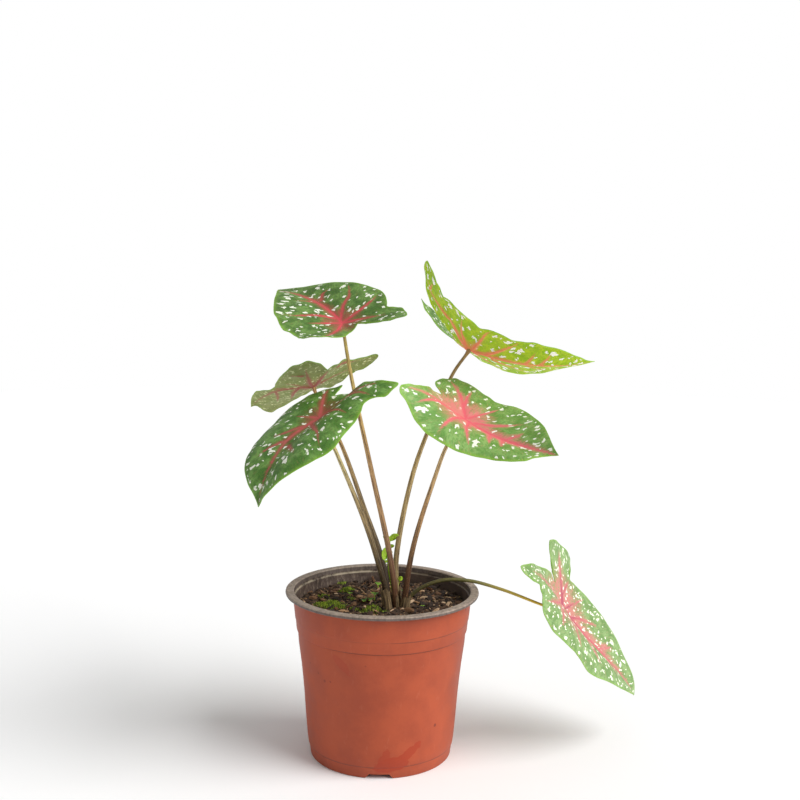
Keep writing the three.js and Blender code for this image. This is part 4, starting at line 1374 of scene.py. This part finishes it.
# %% [markdown]
# The colour of the veins is laid on in three widths, each torn into streaks by the same noise: a soft flush
# round the navel and the main veins, a halo beside every vein, and the vein itself, which is deeper near the
# navel. Where the sun comes through a thin blade its underside glows, and a little emission of the skin's
# own colour stands in for that.
# %% Veins and the whole skin
def vein_colors(skin, look, at, speckle):
    """Lays on the flush, the halos and the veins; speckle makes their edges follow the fields."""
    ragged = at["ragged"]
    bleed = skin.plus(at["flush"], skin.times(ragged, 1.3))
    bleed = skin.plus(bleed, skin.times(speckle, at["flush"]))
    skin.coat(skin.fade(bleed, 0.0, 0.7, 0, look["flush_strength"]), look["flush"])
    halo = skin.plus(at["glow"], skin.times(ragged, 1.4))
    skin.coat(skin.fade(halo, 0.15, 0.95, 0, look["halo_strength"]), look["vein_edge"])
    feather = skin.less(at["vein"], skin.times(ragged, 3.2))
    feather = skin.less(skin.less(feather, skin.less(at["fine"], 0.5)), speckle)
    deeper = skin.blend(skin.fade(at["distance"], 36, 8), look["vein"], look["heart"])
    skin.coat(skin.fade(feather, 1.1, -0.9, 0, look["vein_strength"]), deeper)


def leaf_skin(name, look, seed):
    skin = Finish(name)
    skin.shader.inputs["Specular IOR Level"].default_value = look["shine"]
    at = leaf_places(skin, seed)
    add_noises(skin, at, seed)
    fields = skin.cells(at["lie"], FIELD_SCALE, dimensions="2D")
    net = skin.cells(at["lie"], FIELD_SCALE, "DISTANCE_TO_EDGE", "2D").outputs["Distance"]
    green_tone, fleck_tone, pink_tone = skin.draws(fields)
    green_fields(skin, look, at, net, green_tone)
    fleck = cream_flecks(skin, look, at, fields.outputs["Position"], fleck_tone)
    vein_colors(skin, look, at, skin.times(skin.less(pink_tone, 0.5), look["mottle"]))
    skin.coat(skin.times(fleck, look["fleck_strength"]), look["fleck"])
    skin.coat(skin.fade(at["margin"], 0.8, 0.25, 0, 0.5), look["edge"])
    skin.tree.links.new(skin.coats, skin.shader.inputs["Emission Color"])
    skin.shader.inputs["Emission Strength"].default_value = look["through"]
    soft = skin.cloud(at["flat"], 0.35, 4, 0.6)
    skin.roughness(skin.fade(soft, 0.3, 0.7, look["gloss"], look["gloss"] + 0.12))
    quilt = skin.times(skin.fade(net, 0.0, 0.22), 0.5)
    skin.relief(skin.plus(quilt, skin.times(at["fine"], 0.3)), 0.0003, 0.6)
    return skin.material


print("leaf skin helper ready")

# %% Leaf looks
# The greens are a dull one, a brighter one in broad patches and a deep one in single fields.
# Flecks are listed as spacing, share left out, smallest and largest radius, in mm; rims as left and right
# share of the edge colour; through is how brightly a side glows with light from behind it; the rest are
# colours and how strongly each is laid on. A leaf's own look says only where it differs.
UPPER = dict(
    net=tint(132, 168, 88), edge=tint(140, 190, 44), fleck=tint(250, 252, 236), vein=tint(208, 84, 84),
    vein_edge=tint(180, 88, 74), flush=tint(158, 84, 66), heart=tint(222, 74, 88),
    gloss=0.42, shine=0.4, rims=(0.3, 0.3), ragged=0.1, mottle=0.4, through=0.0, clear_flush=0.75,
    flush_strength=0.88, halo_strength=0.75, vein_strength=0.9, fleck_strength=0.97,
    flecks=((6.2, 0.34, 0.7, 1.55), (4.2, 0.78, 0.4, 0.8)),
)
UNDER = dict(
    UPPER, net=tint(160, 172, 110), edge=tint(150, 178, 76), fleck=tint(222, 228, 170),
    vein=tint(178, 98, 80), vein_edge=tint(164, 112, 82), flush=tint(160, 104, 82), heart=tint(160, 74, 74),
    gloss=0.55, shine=0.25, halo_strength=0.6, vein_strength=0.7, fleck_strength=0.85,
    flecks=((4.6, 0.35, 0.5, 1.15), (3.2, 0.7, 0.35, 0.65)),
)
DARK = (tint(74, 116, 40), tint(116, 158, 74), tint(54, 90, 28))
MIDDLE = (tint(74, 124, 40), tint(120, 166, 80), tint(58, 98, 32))
LIGHT = (tint(106, 156, 70), tint(138, 180, 98), tint(82, 134, 48))
DULL = (tint(126, 142, 78), tint(146, 156, 98), tint(106, 124, 62))
OLIVE = (tint(136, 150, 76), tint(158, 166, 98), tint(116, 132, 60))
# painted light: bright lime greens that stand in for sunlight coming through the upper right blade
LIT_THROUGH_LIME = (tint(152, 194, 0), tint(184, 212, 26), tint(126, 180, 0))
PALE = (tint(112, 150, 82), tint(144, 176, 112), tint(92, 132, 62))
LOOKS = {
    # upper side, underside
    "upper_left": (dict(UPPER, green=DARK, rims=(0.3, 0.2)), dict(UNDER, green=DULL)),
    "left_back": (dict(UPPER, green=MIDDLE), dict(UNDER, green=OLIVE)),
    "left_front": (
        dict(
            UPPER, green=MIDDLE, vein=tint(200, 102, 98), heart=tint(194, 88, 88), flush=tint(134, 76, 58),
            rims=(0.3, 0.1),
        ),
        dict(UNDER, green=DULL),
    ),
    "right_front": (
        dict(
            UPPER, green=LIGHT, vein=tint(232, 98, 112), vein_edge=tint(226, 114, 118),
            flush=tint(228, 124, 126), heart=tint(228, 92, 108), flush_strength=0.9, rims=(0.1, 0.45),
            flecks=((6.3, 0.3, 0.7, 1.45), (4.4, 0.78, 0.4, 0.9)),
        ),
        dict(UNDER, green=DULL),
    ),
    "right_top": (
        dict(UPPER, green=DARK),
        # painted light: on this underside the greens, veins, flush and flecks are painted brighter where
        # sunlight comes through
        dict(
            UNDER, green=LIT_THROUGH_LIME, vein=tint(250, 130, 100), vein_edge=tint(240, 152, 104),
            flush=tint(226, 150, 84), heart=tint(252, 120, 96), net=tint(194, 220, 66),
            edge=tint(184, 222, 36), fleck=tint(255, 255, 246), fleck_strength=1.0, through=0.12,
            flecks=((6.6, 0.25, 0.8, 1.9), (4.4, 0.8, 0.4, 0.9)),
        ),
    ),
    "low_right": (
        dict(
            UPPER, green=PALE, vein=tint(202, 98, 110), vein_edge=tint(206, 124, 122),
            flush=tint(206, 130, 122), heart=tint(172, 74, 98), net=tint(176, 198, 140),
            fleck=tint(250, 252, 232), vein_strength=0.85, flush_strength=0.96, mottle=0.9,
            clear_flush=1.3, rims=(0.1, 0.12), flecks=((4.4, 0.3, 0.45, 1.1), (3.0, 0.68, 0.3, 0.6)),
        ),
        dict(UNDER, green=DULL),
    ),
}
for seed, (name, leaf) in enumerate(LEAVES.items()):
    blade = make_blade(name, leaf, seed)
    sides = zip(("leaf_top_", "leaf_under_"), LOOKS[name])
    thicken(blade, [leaf_skin(side + name, look, seed) for side, look in sides])
    dress(blade, [], ["leaf_" + name])

# %% [markdown]
# ## Stalks
# The stalks are round, a little thicker at the foot, and slightly flared where they spread into the ribs
# under the blade. Their skin is khaki to tan with fine brown streaks that run lengthwise, darker near the
# soil. The trailing one of the low leaf is thinner and olive, and turns yellow towards its blade; that yellow
# is painted brighter still, as painted light on the end that lies in the blade's shadow. They are made with
# the same tube as the small stems, because its UV map lets the streaks run along each stalk.
# %% Stalk skin
STALK_LOOKS = {
    # foot, middle and top colour, the streaks, and how strong they are
    "upper_left": (tint(136, 96, 68), tint(216, 172, 120), tint(204, 180, 100), tint(96, 58, 38), 0.85),
    "left_back": (tint(66, 48, 30), tint(188, 160, 112), tint(206, 162, 104), tint(44, 30, 20), 0.85),
    "left_front": (tint(70, 54, 34), tint(184, 156, 108), tint(218, 200, 138), tint(46, 34, 22), 0.85),
    "right_front": (tint(100, 66, 42), tint(200, 154, 100), tint(228, 194, 138), tint(62, 40, 26), 0.85),
    "right_top": (tint(158, 136, 92), tint(204, 176, 120), tint(184, 152, 96), tint(78, 56, 34), 0.8),
    # painted light: the top colour is raised beyond the stalk's own yellow to brighten the end in its blade's
    # shadow
    "low_right": (tint(80, 74, 38), tint(112, 110, 42), tint(240, 208, 80), tint(66, 62, 26), 0.2),
}


def stalk_skin(name, colors, length):
    foot, middle, top, streak, strength = colors
    skin = Finish("stalk_" + name)
    share_round, share_along, _ = skin.axes(skin.flat())
    turn = skin.times(share_round, 2 * math.pi)
    along = skin.times(share_along, FLAT_SIZE)
    lengthwise = skin.join(skin.maths("COSINE", turn), skin.maths("SINE", turn), skin.times(along, 0.03))
    streaks = skin.cloud(lengthwise, 2.6, 5, 0.65)
    mottle = skin.cloud(skin.vector("MULTIPLY", lengthwise, (1, 1, 6)), 3.5, 4, 0.7)
    skin.start(foot)
    skin.coat(skin.fade(along, 40, 115), middle)
    skin.coat(skin.fade(along, 0.5 * length, 0.9 * length), top)
    skin.coat(skin.fade(streaks, 0.47, 0.62, 0, strength), streak)
    skin.coat(skin.fade(mottle, 0.55, 0.75, 0, 0.35), top)
    skin.roughness(skin.fade(mottle, 0.3, 0.7, 0.42, 0.6))
    skin.relief(streaks, 0.0002, 0.6)
    return skin.material


print("stalk looks:", len(STALK_LOOKS))

# %% Stalks
STALK_FOOT = 97  # the height inside the mix at which a stalk starts, in mm
NECK = 5  # the last mm of a stalk, which run square to its blade
UNDER_BLADE = 0.3  # the mm under the navel at which it ends
FLARE = 1.1  # the mm that its radius grows by at the top
FLARE_START = 0.965  # the share of its length at which it begins to flare
FLARE_LENGTH = 0.035


def stalk_line(leaf):
    """The stalk's line, turned in to meet the blade square at its navel."""
    normal = navel_normal(leaf)
    navel = np.array(leaf["navel"])
    return smooth_line(leaf["stalk"] + [tuple(navel - normal * NECK), tuple(navel - normal * UNDER_BLADE)])


for name, leaf in LEAVES.items():
    line = stalk_line(leaf)
    line = line[line[:, 2] > STALK_FOOT]
    trailing = name == "low_right"
    foot, middle, top = (1.7, 1.4, 1.0) if trailing else (2.5, 1.9, 1.2)
    shares = np.linspace(0, 1, 81)
    flare = FLARE * np.clip((shares - FLARE_START) / FLARE_LENGTH, 0, 1) ** 2
    radii = np.interp(shares, [0, 0.5, 1], [foot, middle, top]) + flare
    stalk = tube("stalk_" + name, line, radii, 16, 96)
    slot = "trailing_petiole" if trailing else "petiole_skin"
    length = np.linalg.norm(np.diff(line, axis=0), axis=1).sum()
    dress(stalk, [stalk_skin(name, STALK_LOOKS[name], length)], ["petiole_" + name])

# %% [markdown]
# ## Sheaths
# Each stalk starts inside a papery brown sheath that has split and dried. It could be cut out of a
# cylinder; here it is a strip rolled four fifths of the way round the stalk's foot, which leaves the split
# open and gives a UV map for its lengthwise ribs. Its upper edge is ragged, and it is as thin as paper.
# %% Sheaths
SHEATH_TURN = 290
PAPER_THICKNESS = 0.25


def sheath(name, foot, lean, radius, height, facing, seed):
    """A strip rolled round a line from foot that leans sideways by lean mm over its height."""
    piece, across, up = grid_piece(name, 36, 20)
    turn = math.radians(facing) + math.radians(SHEATH_TURN) * (across - 0.5)
    ragged = np.array([noise.noise(Vector((a * 9, seed, 0))) for a in across])
    tall = height * (0.8 + 0.35 * ragged - 0.35 * np.abs(across - 0.5))
    wide = radius * (1 + 0.05 * np.sin(turn * 9)) * (1 - 0.12 * up) + 0.5 * up * np.abs(across - 0.5) * 2
    x = foot[0] + wide * np.cos(turn) + lean[0] * up
    y = foot[1] + wide * np.sin(turn) + lean[1] * up
    move_corners(piece, np.stack([x, y, foot[2] + tall * up], 1) * MM)
    write_flat(piece, np.stack([across, up], 1))
    apply_modifier(piece, "SOLIDIFY", thickness=PAPER_THICKNESS * MM, offset=0)
    smooth(piece, 50)
    return piece


SHEATHS = [
    # foot, lean, radius, height, facing
    ((11, -5, 112), (-0.8, 0), 4.3, 20, 60), ((5.3, -7, 112), (-3.2, -2.2), 4.0, 27, 200),
    ((5, 1.5, 112), (-1.6, 1.8), 3.8, 22, 150), ((17, -6, 112), (1.4, -1.4), 4.0, 19, 320),
    ((11, 3, 112), (0, 0.6), 3.8, 24, 80), ((18, 1.5, 111), (2.2, 0.3), 2.6, 11, 20),
]
husk = Finish("papery_sheath", 0.75)
fibres = husk.cloud(husk.stretch(husk.flat(), (44, 1.2, 1)), 1.0, 4, 0.6)
blotch = husk.cloud(husk.place(), 260, 4, 0.6)
husk.start(tint(60, 42, 28))
husk.coat(husk.fade(fibres, 0.38, 0.62), tint(146, 122, 84))
husk.coat(husk.fade(blotch, 0.5, 0.7, 0, 0.6), tint(70, 54, 34))
husk.relief(fibres, 0.0004, 1.0)
for number, (foot, lean, radius, height, facing) in enumerate(SHEATHS):
    wrap = sheath("sheath_%d" % (number + 1), foot, lean, radius, height, facing, number * 3.3)
    dress(wrap, [husk.material])

# %% [markdown]
# ## Tuber
# The tuber sits hidden in the mix, and its solid already has the right shape, so it stays as it is and only
# gets a rough brown skin with rings.
# %% Tuber skin
RING_WAVES = 2400  # radians for each metre of height, so that a ring comes every 2.6 mm
skin = Finish("tuber_skin", 0.9)
place = skin.place()
_, _, height = skin.axes(place)
rings = skin.maths("SINE", skin.times(height, RING_WAVES))
patches = skin.cloud(place, 180, 6, 0.65)
skin.start(tint(84, 58, 38))
skin.coat(skin.fade(patches, 0.35, 0.65), tint(140, 104, 72))
skin.coat(skin.fade(rings, 0.4, 1, 0, 0.4), tint(58, 38, 26))
skin.relief(patches, 0.0008, 0.8)
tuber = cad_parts["tuber"]
for slot in tuber.material_slots:
    slot.material = skin.material
print("tuber slots:", len(tuber.material_slots))
